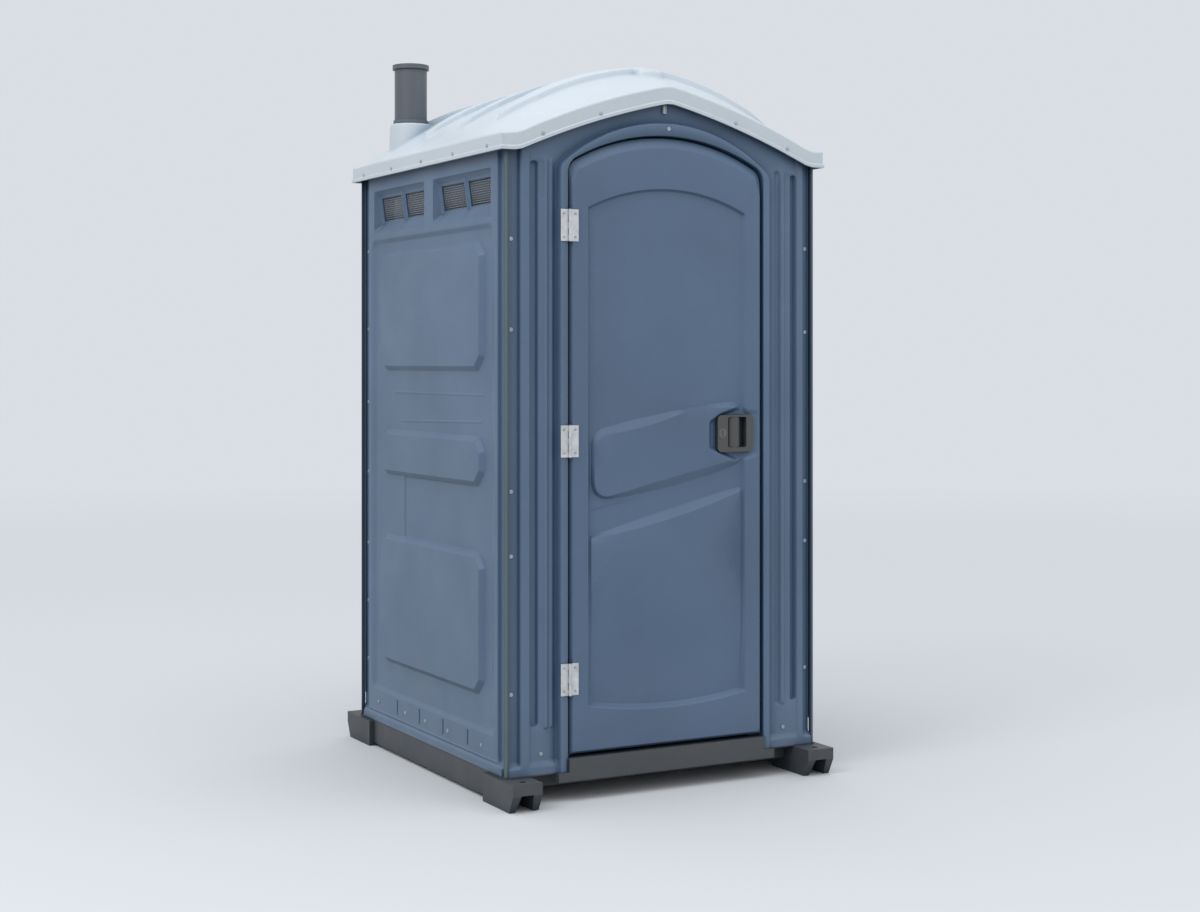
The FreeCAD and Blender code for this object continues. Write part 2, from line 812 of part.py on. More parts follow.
def front_frame():
    """One moulding: ribbed jambs, arched bead round the doorway, door stop and gable head."""
    base = face_y + front_level
    channel = face_y + front_channel_level
    back = face_y - relief_depth
    reach = frame_end + margin
    low = wall_bottom - margin
    body = under_gable(low, frame_head_cover + margin, reach, -base, -back)
    for side in (-1, 1):
        x0, x1 = sorted((side * rib_outer, side * (reach + 1)))
        body = body.cut(box(x0, -base - 1, low - 1, x1, -channel, eaves_height + gable_rise))
    parts = [body, gable_rail(face_y, frame_end)]
    flange = [
        (back, low), (face_y, low), (face_y, flange_top), (base, flange_slope_top), (back, flange_slope_top),
    ]
    for side in (-1, 1):
        x0, x1 = sorted((side * rib_inner, side * rib_outer))
        parts.append(box(x0, -face_y, low, x1, -back, eaves_height))
        x0, x1 = sorted((side * ridge_inner, side * flute_inner))
        parts.append(box(x0, -face_y, flute_bottom, x1, -back, flute_top))
        x0, x1 = sorted((side * (opening_half + bead_width / 2), side * reach))
        parts.append(profile_along_x(flange, x0, x1))
    parts.append(arched_prism(opening_half + bead_width, low, door_shoulder,
                              door_crown + door_gap + bead_head_width, door_corner_radius + bead_slope,
                              -bead_front, -back))
    relief = fused(parts)
    for side in (-1, 1):
        x0, x1 = sorted((side * flute_inner, side * rib_inner))
        relief = relief.cut(box(x0, -face_y - 1, flute_bottom, x1, -channel, flute_top))
    relief = relief.cut(arched_prism(opening_half, low - margin, door_shoulder, door_crown + door_gap,
                                     door_corner_radius + door_gap, -bead_front - 1, -stop_face))
    relief = relief.cut(arched_prism(stop_inner, low - margin, door_shoulder,
                                     door_crown + stop_inner - door_half_width, door_corner_radius,
                                     -stop_face, -back + 1))
    frame = thin_sheet(relief, sheet)
    limit = under_gable(wall_bottom, frame_head_cover, frame_end, -2 * face_y, -(stop_face - sheet))
    frame = frame.common(limit)
    stop_clear = floor_top + tread_rib_height + fit_gap
    jamb_clear = opening_half + sheet + fit_gap
    threshold_y = -(rim_half_y - pan_rim_wall + fit_gap)
    frame = frame.cut(box(-jamb_clear, threshold_y, 0, jamb_clear, 0, stop_clear))
    hinge_holes = [(x, z, bead_proud) for x, z in hinge_rivet_places(-1)]
    return with_rivet_holes(frame, front_rivets() + gable_rail_holes() + hinge_holes, face_y)


def apex_clip():
    """Small two-pronged clip on the gable, just under the roof's lip."""
    face = -(face_y + front_level)
    low = clip_top - clip_height
    front = face - clip_plate
    parts = [box(clip_x - clip_width / 2, front, low, clip_x + clip_width / 2, face, clip_top)]
    for side in (-1, 1):
        base = V(clip_x + side * clip_prong_offset, front, low)
        parts.append(cylinder(clip_prong_radius, clip_height, base, Z_UP))
    behind = box(clip_x - clip_width, face, low, clip_x + clip_width, face + clip_width, clip_top)
    return fused(parts).cut(behind)


# Rivets and screws

def rivet(x, z, surface, head_radius, grip):
    """Domed rivet through a sheet whose outer surface lies at a given distance."""
    head = cylinder(head_radius, rivet_head_height, V(x, -surface - rivet_head_height, z), Y_BACK)
    rim = [e for e in head.Edges if e.BoundBox.YMax < -surface - rivet_head_height / 2]
    head = head.makeFillet(rivet_dome_radius, [e for e in rim if e.Closed])
    return head.fuse(cylinder(rivet_shank_radius, grip, V(x, -surface, z), Y_BACK)).removeSplitter()


def rivet_hole(start, length):
    """Clearance hole for a rivet or screw, running back from its start."""
    return cylinder(rivet_shank_radius + fastener_play, length, start, Y_BACK)


def side_rivets():
    """Places of a side wall's rivets: distance along the wall, height and relief level."""
    places = [(x, skirt_rivet_height, level_border) for x in skirt_rivet_places]
    for side in (-1, 1):
        places += [(side * post_rivet_line, z, level_channel) for z in post_rivet_heights]
    return places


def rear_rivets():
    """Places of the rear wall's rivets."""
    places = [(x, skirt_rivet_height, level_border) for x in skirt_rivet_places]
    for side in (-1, 1):
        places += [(side * rear_rivet_line, z, level_channel) for z in post_rivet_heights]
    return places


def front_rivets():
    """Places of the front frame's rivets, with one on the bead above the door."""
    places = [(0, door_crown + door_gap + bead_head_width / 2, bead_proud)]
    for side in (-1, 1):
        places += [(side * frame_rivet_line, z, front_channel_level) for z in frame_rivet_heights]
        places.append((side * frame_foot_rivet_x, frame_foot_rivet_z, front_level))
    return places


def rivet_group(places, face):
    """All rivets of one wall, in the wall's own frame."""
    grip = sheet - fit_gap
    return Part.makeCompound([rivet(x, z, face + level, rivet_head_radius, grip) for x, z, level in places])


def with_rivet_holes(wall, places, face):
    """Wall with a clearance hole for each rivet."""
    starts = [V(x, -(face + level) - 2 * sheet, z) for x, z, level in places]
    return wall.cut(Part.makeCompound([rivet_hole(start, 4 * sheet) for start in starts])).removeSplitter()


# Door

def panel_wire(inset, y):
    """Recessed panel of the door: arched head, straight sides and a sagging foot."""
    half = panel_half_width - inset
    foot = panel_bottom + panel_bottom_sag + inset
    head = panel_shoulder - inset
    edges = [
        Part.makeLine(V(half, y, foot), V(half, y, head)),
        Part.Arc(V(half, y, head), V(0, y, panel_crown - inset), V(-half, y, head)).toShape(),
        Part.makeLine(V(-half, y, head), V(-half, y, foot)),
        Part.Arc(V(-half, y, foot), V(0, y, panel_bottom + inset), V(half, y, foot)).toShape(),
    ]
    return Part.Wire(edges)


def curved_panel(corners, top_mid, bottom_mid, low, high):
    """Raised area with straight ends and bowed long edges, standing in the door's recess."""
    left_low, right_low, right_high, left_high = corners

    def outline(inset, level):
        y = -(door_front + level)
        turns = ((left_low, 1, 1), (right_low, -1, 1), (right_high, -1, -1), (left_high, 1, -1))
        points = [V(x + inset * inward, y, z + inset * upward) for (x, z), inward, upward in turns]
        edges = [
            Part.Arc(points[0], V(bottom_mid[0], y, bottom_mid[1] + inset), points[1]).toShape(),
            Part.makeLine(points[1], points[2]),
            Part.Arc(points[2], V(top_mid[0], y, top_mid[1] - inset), points[3]).toShape(),
            Part.makeLine(points[3], points[0]),
        ]
        return Part.Wire(edges)

    return Part.makeLoft([outline(0, low), outline(abs(high - low) * 2, high)], True, True)


def door_outer_skin():
    """Outer shell of the door: bevelled edge, recessed panel, raised bands and the latch pocket."""
    bevel = door_edge_bevel
    back = -(door_back - margin)
    full = arched_prism(door_half_width, door_bottom, door_shoulder, door_crown, door_corner_radius,
                        -(door_front - bevel), back)
    face = arched_wire(door_half_width - bevel, door_bottom + bevel, door_shoulder, door_crown - head_bevel,
                       door_corner_radius - bevel, -door_front)
    edge = arched_wire(door_half_width, door_bottom, door_shoulder, door_crown, door_corner_radius,
                       -(door_front - bevel))
    relief = full.fuse(Part.makeLoft([edge, face], True, True)).removeSplitter()
    recess = Part.makeLoft([panel_wire(0, -door_front - fit_gap),
                            panel_wire(panel_recess, -door_front + panel_recess)], True, True)
    relief = relief.cut(recess)
    half = panel_half_width
    band_corners = (
        (-band_left, band_left_low), (half, band_right_low), (half, band_right_high),
        (-band_left, band_left_high),
    )
    band = curved_panel(band_corners, (band_mid_x, band_mid_high), (band_mid_x, band_mid_low),
                        -panel_recess, band_raise - panel_recess)
    inner = half - panel_recess
    foot = panel_bottom + panel_bottom_sag + panel_recess
    lower_corners = ((-inner, foot), (inner, foot), (inner, lower_ridge_right), (-inner, lower_ridge_left))
    lower = curved_panel(lower_corners, (0, lower_ridge_middle), (0, panel_bottom + panel_recess),
                         -panel_recess, lower_raise - panel_recess)
    relief = fused([relief, band, lower])
    pocket_y = -(door_front - latch_pocket_depth)
    pocket = [V(x, -door_front - 1, z) for x, z in latch_pocket_outline]
    relief = relief.cut(polygon_face(pocket).extrude(V(0, pocket_y + door_front + 1, 0)))
    skin = thin_sheet(relief, sheet)
    skin = skin.common(box(-face_x, -2 * face_y, 0, face_x, -(door_back + door_inner_skin), pipe_top))
    hole = box(housing_left - fit_gap, -door_front - reach_past, housing_bottom - fit_gap,
               housing_right + fit_gap, 0, housing_top + fit_gap)
    skin = skin.cut(hole)
    holes = [rivet_hole(V(x, -door_front - sheet, z), 3 * sheet) for x, z in hinge_rivet_places(1)]
    return skin.cut(Part.makeCompound(holes)).removeSplitter()


def door_inner_skin_panel():
    """Inner lining of the door, with the spindle hole."""
    lining = arched_prism(door_half_width, door_bottom, door_shoulder, door_crown, door_corner_radius,
                          -(door_back + door_inner_skin), -door_back)
    spindle = cylinder(spindle_radius + fit_gap, 3 * sheet,
                       V(latch_axis_x, -door_back - 2 * sheet, latch_axis_z), Y_BACK)
    return lining.cut(spindle)


# Hinges

def hinge_rivet_places(side):
    """Fastener places on all hinge leaves of one side: frame (-1) or door (1)."""
    x = hinge_axis_x + side * hinge_rivet_x
    return [(x, centre + z) for centre in hinge_centres for z in (-hinge_rivet_offset, hinge_rivet_offset)]


def hinge_leaf_body(centre, side):
    """Hinge leaf with its knuckles: frame side (-1) takes the odd ones, door side (1) the even ones."""
    pitch = hinge_height / hinge_knuckle_count
    low = centre - hinge_height / 2
    inner = hinge_axis_x + side * (hinge_barrel_radius + hinge_play)
    outer = hinge_axis_x + side * hinge_leaf_reach
    x0, x1 = sorted((inner, outer))
    back = -door_front
    parts = [box(x0, back - hinge_leaf, low, x1, back, low + hinge_height)]
    first = 0 if side < 0 else 1
    for index in range(first, hinge_knuckle_count, 2):
        z0 = low + index * pitch + hinge_play / 2
        knuckle = cylinder(hinge_barrel_radius, pitch - hinge_play, V(hinge_axis_x, hinge_axis_y, z0), Z_UP)
        x0, x1 = sorted((hinge_axis_x + side * hinge_pin_radius, inner + side))
        link = box(x0, back - hinge_leaf, z0, x1, back - fit_gap, z0 + pitch - hinge_play)
        parts += [knuckle, link]
    leaf = fused(parts)
    bore = cylinder(hinge_pin_radius + hinge_bore_play, hinge_height + 2,
                    V(hinge_axis_x, hinge_axis_y, low - 1), Z_UP)
    leaf = leaf.cut(bore)
    holes = [rivet_hole(V(x, back - 2 * hinge_leaf, z), 3 * hinge_leaf) for x, z in hinge_rivet_places(side)]
    return leaf.cut(Part.makeCompound(holes)).removeSplitter()


def hinge_pin(centre):
    """Hinge pin with a head at each end."""
    low = centre - hinge_height / 2
    pin = cylinder(hinge_pin_radius, hinge_height + 2 * hinge_play,
                   V(hinge_axis_x, hinge_axis_y, low - hinge_play), Z_UP)
    heads = [cylinder(hinge_pin_head_radius, hinge_pin_head, V(hinge_axis_x, hinge_axis_y, z), Z_UP)
             for z in (low - hinge_play - hinge_pin_head, low + hinge_height + hinge_play)]
    return fused([pin] + heads)


def hinge_rivets(side):
    """Fasteners of all hinge leaves of one side."""
    surface = door_front + hinge_leaf
    grip = hinge_leaf + sheet + reach_past
    places = hinge_rivet_places(side)
    return Part.makeCompound([rivet(x, z, surface, hinge_rivet_radius, grip) for x, z in places])


# Latch

def latch_housing():
    """Cup let into the door, with the finger pocket and the seat of the lock disc."""
    front = -(door_front + housing_proud)
    back = front + housing_depth
    body = box(housing_left, front, housing_bottom, housing_right, back, housing_top)
    corners = [e for e in body.Edges if abs(e.Vertexes[0].Point.y - e.Vertexes[1].Point.y) > 1]
    body = body.makeFillet(housing_corner, corners)
    pocket = box(finger_left, front - 1, finger_bottom, finger_right, back - housing_wall, finger_top)
    corners = [e for e in pocket.Edges if abs(e.Vertexes[0].Point.y - e.Vertexes[1].Point.y) > 1]
    body = body.cut(pocket.makeFillet(finger_corner, corners))
    mouth = V(latch_axis_x, front - 1, latch_axis_z)
    seat = cylinder(lock_disc_radius + fit_gap, lock_disc_thickness + 1, mouth, Y_BACK)
    bore = cylinder(spindle_radius + spindle_play, housing_depth + 2, mouth, Y_BACK)
    return body.cut(seat).cut(bore).removeSplitter()


def latch_grip():
    """Upright pull bar across the finger pocket."""
    front = -(door_front + housing_proud)
    depth = grip_thickness
    low, high = finger_bottom + fit_gap, finger_top - fit_gap
    middle = (grip_left + grip_right) / 2
    outline = Part.Wire([
        Part.Arc(V(grip_left, front + depth / 2, low), V(middle, front + 1, low),
                 V(grip_right, front + depth / 2, low)).toShape(),
        Part.Arc(V(grip_right, front + depth / 2, low), V(middle, front + depth, low),
                 V(grip_left, front + depth / 2, low)).toShape(),
    ])
    return Part.Face(outline).extrude(V(0, 0, high - low))


def lock_spindle():
    """Coin-slotted lock disc outside the door with its shaft through to the inside."""
    front = -(door_front + housing_proud)
    centre = V(latch_axis_x, front, latch_axis_z)
    disc = cylinder(lock_disc_radius, lock_disc_thickness - fit_gap, centre, Y_BACK)
    half = coin_slot_width / 2
    slot = box(latch_axis_x - half, front - 1, latch_axis_z - coin_slot_half_length,
               latch_axis_x + half, front + coin_slot_depth, latch_axis_z + coin_slot_half_length)
    shaft = cylinder(spindle_radius, knob_y + knob_length - 1 - front, centre, Y_BACK)
    return disc.fuse(shaft).cut(slot).removeSplitter()


def tooth_prism(x, root, pitch_line, tip):
    """Straight-sided gear or rack tooth, as wide as the bolt is thick."""
    halves = ((root, tooth_root_half), (pitch_line, tooth_half), (tip, tooth_tip_half))
    outline = [V(x - half, bolt_y, z) for z, half in halves]
    outline += [V(x + half, bolt_y, z) for z, half in reversed(halves)]
    return polygon_face(outline).extrude(V(0, bolt_thickness, 0))


def latch_pinion():
    """Pinion on the spindle that drives the bolt."""
    root = pinion_pitch_radius - pinion_tooth_height
    tip = pinion_pitch_radius + tooth_addendum
    parts = [cylinder(root, bolt_thickness, V(latch_axis_x, bolt_y, latch_axis_z), Y_BACK)]
    for index in range(pinion_teeth):
        tooth = tooth_prism(0, root - reach_past, pinion_pitch_radius, tip)
        tooth.rotate(ORIGIN, Y_BACK, 360 * index / pinion_teeth)
        tooth.translate(V(latch_axis_x, 0, latch_axis_z))
        parts.append(tooth)
    bore = cylinder(spindle_radius + spindle_play, bolt_thickness + 2,
                    V(latch_axis_x, bolt_y - 1, latch_axis_z), Y_BACK)
    return fused(parts).cut(bore)


def latch_bolt():
    """Sliding bolt with a rack on its underside."""
    pitch_line = latch_axis_z + pinion_pitch_radius
    low = pitch_line + pinion_tooth_height
    left = bolt_retracted_tip - bolt_length
    parts = [box(left, bolt_y, low, bolt_retracted_tip, bolt_y + bolt_thickness, low + bolt_height)]
    pitch = 2 * math.pi * pinion_pitch_radius / pinion_teeth
    for index in range(-rack_teeth_left, rack_teeth_right):
        x = latch_axis_x + (index + 0.5) * pitch
        parts.append(tooth_prism(x, low + rack_foot, pitch_line, pitch_line - tooth_addendum))
    return fused(parts)


def latch_cover():
    """Box on the inside of the door over the pinion and bolt."""
    y0 = -door_back
    y1 = y0 + latch_cover_depth
    wall = latch_cover_wall
    body = box(latch_cover_left, y0, latch_cover_bottom, latch_cover_right, y1, latch_cover_top)
    left, right = latch_cover_left + wall, latch_cover_right - wall
    hollow = box(left, y0 - 1, latch_cover_bottom + wall, right, y1 - wall, latch_cover_top - wall)
    low = latch_axis_z + pinion_pitch_radius + pinion_tooth_height
    mouth = box(latch_cover_right - 2 * wall, bolt_y - bolt_play, low - bolt_play, latch_cover_right + 1,
                bolt_y + bolt_thickness + bolt_play, low + bolt_height + bolt_play)
    bore_start = V(latch_axis_x, y1 - 2 * wall, latch_axis_z)
    bore = cylinder(spindle_radius + spindle_play, 3 * wall, bore_start, Y_BACK)
    upper = low + bolt_height + bolt_play
    front = bolt_y - bolt_play
    guides = [
        box(left, front, upper, right, y1 - wall, upper + wall),
        box(latch_guide_left, front, low - bolt_play - wall, right, y1 - wall, low - bolt_play),
    ]
    return fused([body.cut(hollow).cut(mouth).cut(bore)] + guides)


def latch_knob():
    """Turn knob inside the cabin on the spindle's end."""
    y0 = knob_y
    disc = cylinder(knob_radius, knob_base, V(latch_axis_x, y0, latch_axis_z), Y_BACK)
    half = knob_grip_width / 2
    reach = knob_radius - 1
    grip = box(latch_axis_x - half, y0, latch_axis_z - reach, latch_axis_x + half, y0 + knob_length,
               latch_axis_z + reach)
    hub = cylinder(spindle_radius + knob_hub_wall, knob_length, V(latch_axis_x, y0, latch_axis_z), Y_BACK)
    bore_start = V(latch_axis_x, y0 - 1, latch_axis_z)
    bore = cylinder(spindle_radius + spindle_play, knob_length, bore_start, Y_BACK)
    return fused([disc, grip, hub]).cut(bore)


def strike_plate():
    """Wear plate on the inner face of the door stop, where the bolt holds."""
    centre_z = latch_axis_z + pinion_pitch_radius + pinion_tooth_height + bolt_height / 2
    y0 = -(stop_face - sheet)
    x0 = stop_inner + strike_inset
    return box(x0, y0, centre_z - strike_height / 2, x0 + strike_width, y0 + strike_thickness,
               centre_z + strike_height / 2)


# Roof

def vault_edges(x_edge, edge_z, mid, crown, y):
    """Cross section of the roof at one station: two arcs over a flat base."""
    left, right = V(-x_edge, y, edge_z), V(x_edge, y, edge_z)
    apex = V(0, y, crown)
    return Part.Wire([
        Part.Arc(left, V(-mid[0], y, mid[1]), apex).toShape(),
        Part.Arc(apex, V(mid[0], y, mid[1]), right).toShape(),
        Part.makeLine(right, left),
    ])


def vault(inset, lift, half_depth):
    """Solid under the roof skin, hipped down to the gable at both ends."""
    edge_z = eaves_height + fascia_height
    x_edge = roof_half_width - inset
    hip_mid = (hip_mid_x, hip_mid_height - inset + lift)
    hip_crown = edge_z + gable_rise - inset + lift
    mid = (vault_mid_x, vault_mid_height - inset + lift)
    crown = vault_crown - inset + lift
    stations = (
        (-half_depth, hip_mid, hip_crown), (-vault_length, mid, crown), (vault_length, mid, crown),
        (half_depth, hip_mid, hip_crown),
    )
    base = edge_z - inset + lift
    return Part.makeLoft([vault_edges(x_edge, base, m, c, y) for y, m, c in stations], True, True)


def roof_ribs(inset):
    """Raised cross ribs and the spine along the ridge, cut from a taller vault."""
    tall = vault(0, roof_rib_height - inset, roof_half_depth)
    half = roof_rib_width / 2 - inset
    reach = roof_rib_end - inset
    bars = [box(-reach, y - half, eaves_height, reach, y + half, vault_crown + 3 * roof_rib_height)
            for y in roof_rib_places]
    spine = spine_half_width - inset
    bars.append(box(-spine, -spine_half_length + inset, eaves_height, spine, spine_half_length - inset,
                    vault_crown + 3 * roof_rib_height))
    return tall.common(fused(bars))


def gable_height(x):
    """Height of the roof's lower edge over a place along the gable."""
    if abs(x) >= gable_flat_end:
        return eaves_height
    along, rise, crown = gable_flat_end, gable_mid_rise, gable_rise
    mid = gable_mid_x
    end_term = along ** 2 - crown ** 2
    mid_term = mid ** 2 + rise ** 2 - crown ** 2
    centre_z = (end_term * mid - mid_term * along) / (2 * (-crown * mid - (rise - crown) * along))
    centre_x = (end_term + 2 * crown * centre_z) / (2 * along)
    radius = math.hypot(centre_x, crown - centre_z)
    return eaves_height + centre_z + math.sqrt(radius ** 2 - (abs(x) - centre_x) ** 2)


def side_screws():
    """Places of the screws through the roof's side fascia, in a side wall's frame."""
    return [(x, eaves_height + fascia_screw_drop) for x in fascia_side_screws]


def gable_screws():
    """Places of the screws through the front or rear fascia."""
    return [(x, gable_height(x) + fascia_screw_drop) for x in fascia_front_screws]


def gable_rail_holes():
    """Places of the roof screws in the rail of a gable wall."""
    return [(x, z, gable_rail_level) for x, z in gable_screws()]


def fascia_sides():
    """Each fascia side with its screws: outer surface, places and turn."""
    return (
        (roof_half_depth, gable_screws(), 0), (roof_half_depth, gable_screws(), 180),
        (roof_half_width, side_screws(), -90), (roof_half_width, side_screws(), 90),
    )


def roof_screws():
    """All screws that hold the roof to the wall rails."""
    screws = []
    for surface, places, degrees in fascia_sides():
        for x, z in places:
            screws.append(turned(rivet(x, z, surface, screw_head_radius, screw_grip), degrees))
    return Part.makeCompound(screws)


def roof():
    """Roof moulding: fascia with its lip, hipped vault, ribs and the boss of the vent pipe."""
    ceiling = eaves_height + fascia_height
    outer = fused([
        gable_band(0, fascia_height, roof_half_width, roof_half_depth),
        gable_band(0, lip_height, roof_half_width + lip_reach, roof_half_depth + lip_reach),
        vault(0, 0, roof_half_depth), roof_ribs(0),
        cylinder(boss_diameter / 2, boss_top - ceiling, V(pipe_x, pipe_y, ceiling), Z_UP),
    ])
    inner_half = roof_half_width - sheet
    inner_depth = roof_half_depth - sheet
    boss = cylinder(boss_diameter / 2 - sheet, boss_top - sheet - eaves_height,
                    V(pipe_x, pipe_y, eaves_height), Z_UP)
    hollow = fused([
        under_gable(wall_bottom, fascia_height - sheet, inner_half, -inner_depth, inner_depth),
        vault(sheet, 0, inner_depth), roof_ribs(sheet), boss,
    ])
    open_ends = under_gable(wall_bottom, 0, inner_half, -2 * roof_half_depth, 2 * roof_half_depth)
    cuts = [cylinder(pipe_diameter / 2 + pipe_clearance, boss_top, V(pipe_x, pipe_y, eaves_height), Z_UP)]
    for surface, places, degrees in fascia_sides():
        for x, z in places:
            cuts.append(turned(rivet_hole(V(x, -surface - sheet, z), 4 * sheet), degrees))
    shell = outer.cut(hollow).cut(open_ends)
    return shell.cut(Part.makeCompound(cuts)).removeSplitter()


# Vent pipe

def vent_pipe():
    """Pipe from the tank's spigot up through the roof."""
    low = deck_top + fit_gap
    length = pipe_top - low
    base = V(pipe_x, pipe_y, low)
    bore = cylinder(pipe_diameter / 2 - pipe_wall, length, base, Z_UP)
    return cylinder(pipe_diameter / 2, length, base, Z_UP).cut(bore)


def pipe_rim():
    """Collar ring around the pipe's open end."""
    low = pipe_rim_top - pipe_rim_height
    inner = pipe_diameter / 2 + fastener_play
    outer = cylinder(pipe_rim_diameter / 2, pipe_rim_height, V(pipe_x, pipe_y, low), Z_UP)
    bore = cylinder(inner, pipe_top + fit_gap - low, V(pipe_x, pipe_y, low), Z_UP)
    mouth = cylinder(pipe_diameter / 2 - pipe_wall, pipe_rim_height, V(pipe_x, pipe_y, low), Z_UP)
    return outer.cut(bore).cut(mouth)


def pipe_boot():
    """Rubber ring that seals the pipe on the roof's boss."""
    low = boss_top + fit_gap
    outer = cylinder(pipe_diameter / 2 + boot_wall, boot_height, V(pipe_x, pipe_y, low), Z_UP)
    return outer.cut(cylinder(pipe_diameter / 2 + fastener_play, boot_height, V(pipe_x, pipe_y, low), Z_UP))


# Tank, seat and lid

def oval(half_x, half_y, z, height):
    """Upright oval prism about the seat's centre."""
    centre = V(0, seat_centre_y, z)
    ellipse = Part.Ellipse(centre + V(0, half_y, 0), centre + V(half_x, 0, 0), centre)
    return Part.Face(Part.Wire([ellipse.toShape()])).extrude(V(0, 0, height))


def tank():
    """Open holding tank under the deck."""
    low = floor_top + fit_gap
    high = deck_top - deck_thickness - fit_gap
    body = box(-tank_half_width, tank_front, low, tank_half_width, tank_back, high)
    hollow = box(-tank_half_width + tank_wall, tank_front + tank_wall, low + tank_wall,
                 tank_half_width - tank_wall, tank_back - tank_wall, high + 1)
    return body.cut(hollow)


def tank_deck():
    """Deck over the tank with the bowl hole, lid hinge ears, pipe spigot and a turned-down edge."""
    reach = deck_overhang
    inner = fit_gap * 3
    body = box(-tank_half_width - reach, tank_front - reach, deck_top - deck_foot_drop,
               tank_half_width + reach, tank_back + reach, deck_top)
    hollow = box(-tank_half_width - inner, tank_front - inner, deck_top - deck_foot_drop - 1,
                 tank_half_width + inner, tank_back + inner, deck_top - deck_thickness)
    bowl_hole = oval(seat_hole_x, seat_hole_y, deck_top - deck_foot_drop, 2 * deck_foot_drop)
    body = body.cut(hollow).cut(bowl_hole)
    spigot_radius = pipe_diameter / 2 - pipe_wall - fit_gap
    spigot = cylinder(spigot_radius, spigot_height, V(pipe_x, pipe_y, deck_top), Z_UP)
    hole = cylinder(spigot_bore_radius, spigot_height + 2 * deck_foot_drop,
                    V(pipe_x, pipe_y, deck_top - deck_foot_drop), Z_UP)
    ears = []
    for side in (-1, 1):
        for place in (lid_ear_inner, lid_ear_outer):
            ears.append(hinge_lug(side, place, deck_top - lid_hinge_z, -lid_hinge_radius, lid_hinge_radius))
    body = fused([body, spigot] + ears).cut(hole)
    for side in (-1, 1):
        body = body.cut(hinge_bore(side, lid_pin_radius))
    return body.removeSplitter()


def hinge_lug(side, place, low, back, front):
    """Rounded lug on the lid's hinge axis with a foot reaching down or forward."""
    x0 = min(side * place, side * (place + lid_lug_width))
    round_end = cylinder(lid_hinge_radius, lid_lug_width, V(x0, lid_hinge_y, lid_hinge_z), V(1, 0, 0))
    foot = box(x0, lid_hinge_y + back, lid_hinge_z + low, x0 + lid_lug_width, lid_hinge_y + front,
               lid_hinge_z)
    return round_end.fuse(foot).removeSplitter()


def hinge_bore(side, radius):
    """Bore along the lid's hinge axis on one side."""
    reach = lid_ear_outer + 2 * lid_lug_width
    return cylinder(radius, reach, V(min(0, side * reach), lid_hinge_y, lid_hinge_z), V(1, 0, 0))


def toilet_seat():
    """Seat ring with four short feet on the deck."""
    low = deck_top + seat_lift
    ring = oval(seat_outer_x, seat_outer_y, low, seat_thickness)
    rim = [e for e in ring.Edges if e.Closed and e.BoundBox.ZMin > low + 1]
    ring = ring.makeFillet(seat_edge_radius, rim)
    ring = ring.cut(oval(seat_hole_x, seat_hole_y, low - 1, seat_thickness + 2))
    parts = [ring]
    ring_x = (seat_outer_x + seat_hole_x) / 2
    ring_y = (seat_outer_y + seat_hole_y) / 2
    for x, y in ((-ring_x, 0), (ring_x, 0), (0, -ring_y), (0, ring_y)):
        parts.append(cylinder(seat_bumper_radius, seat_lift, V(x, seat_centre_y + y, deck_top), Z_UP))
    return fused(parts)


def toilet_lid():
    """Lid, drawn closed and then laid back to where it rests open."""
    low = deck_top + seat_lift + seat_thickness + lid_gap
    plate = oval(seat_outer_x, seat_outer_y, low, lid_thickness)
    rim = [e for e in plate.Edges if e.Closed and e.BoundBox.ZMin > low + 1]
    plate = plate.makeFillet(lid_edge_radius, rim)
    parts = [plate]
    for side in (-1, 1):
        place = lid_ear_inner + lid_lug_width + hinge_play
        x0 = min(side * place, side * (place + lid_lug_width))
        lug = cylinder(lid_hinge_radius, lid_lug_width, V(x0, lid_hinge_y, lid_hinge_z), V(1, 0, 0))
        high = low + lid_thickness / 2
        outline = (
            (-lid_hinge_radius, lid_hinge_z), (lid_hinge_radius, lid_hinge_z), (lid_hinge_radius, high),
            (-lid_arm_reach, high), (-lid_arm_reach, low), (-lid_hinge_radius, low),
        )
        arm = [V(x0, lid_hinge_y + along, z) for along, z in outline]
        parts += [lug, polygon_face(arm).extrude(V(lid_lug_width, 0, 0))]
    lid = fused(parts)
    for side in (-1, 1):
        lid = lid.cut(hinge_bore(side, lid_pin_radius + hinge_bore_play))
    lid.rotate(V(0, lid_hinge_y, lid_hinge_z), V(-1, 0, 0), lid_open_angle)
    return lid


def lid_hinge_pins():
    """Two short pins through the deck's ears and the lid's lugs."""
    pins = []
    for side in (-1, 1):
        reach = lid_ear_outer + lid_lug_width
        x0 = min(side * lid_ear_inner, side * reach)
        start = V(x0, lid_hinge_y, lid_hinge_z)
        pins.append(cylinder(lid_pin_radius, reach - lid_ear_inner, start, V(1, 0, 0)))
    return Part.makeCompound(pins)


# Interior fittings

def urinal_section(inset, y):
    """Outline of the urinal seen from its side, drawn in by the given amount."""
    wall_x = face_x + level_field - sheet - fit_gap
    front_x = wall_x - urinal_depth + inset
    high = urinal_bottom + urinal_height
    low = urinal_bottom + inset
    belly_x = wall_x - urinal_depth / 2 + inset / 2
    return [
        V(wall_x - inset, y, high - 2 * inset), V(wall_x - inset, y, low), V(belly_x, y, low),
        V(front_x, y, low + urinal_belly_height), V(front_x, y, low + urinal_lip_height - inset),
        V(wall_x - urinal_back, y, high - 2 * inset),
    ]


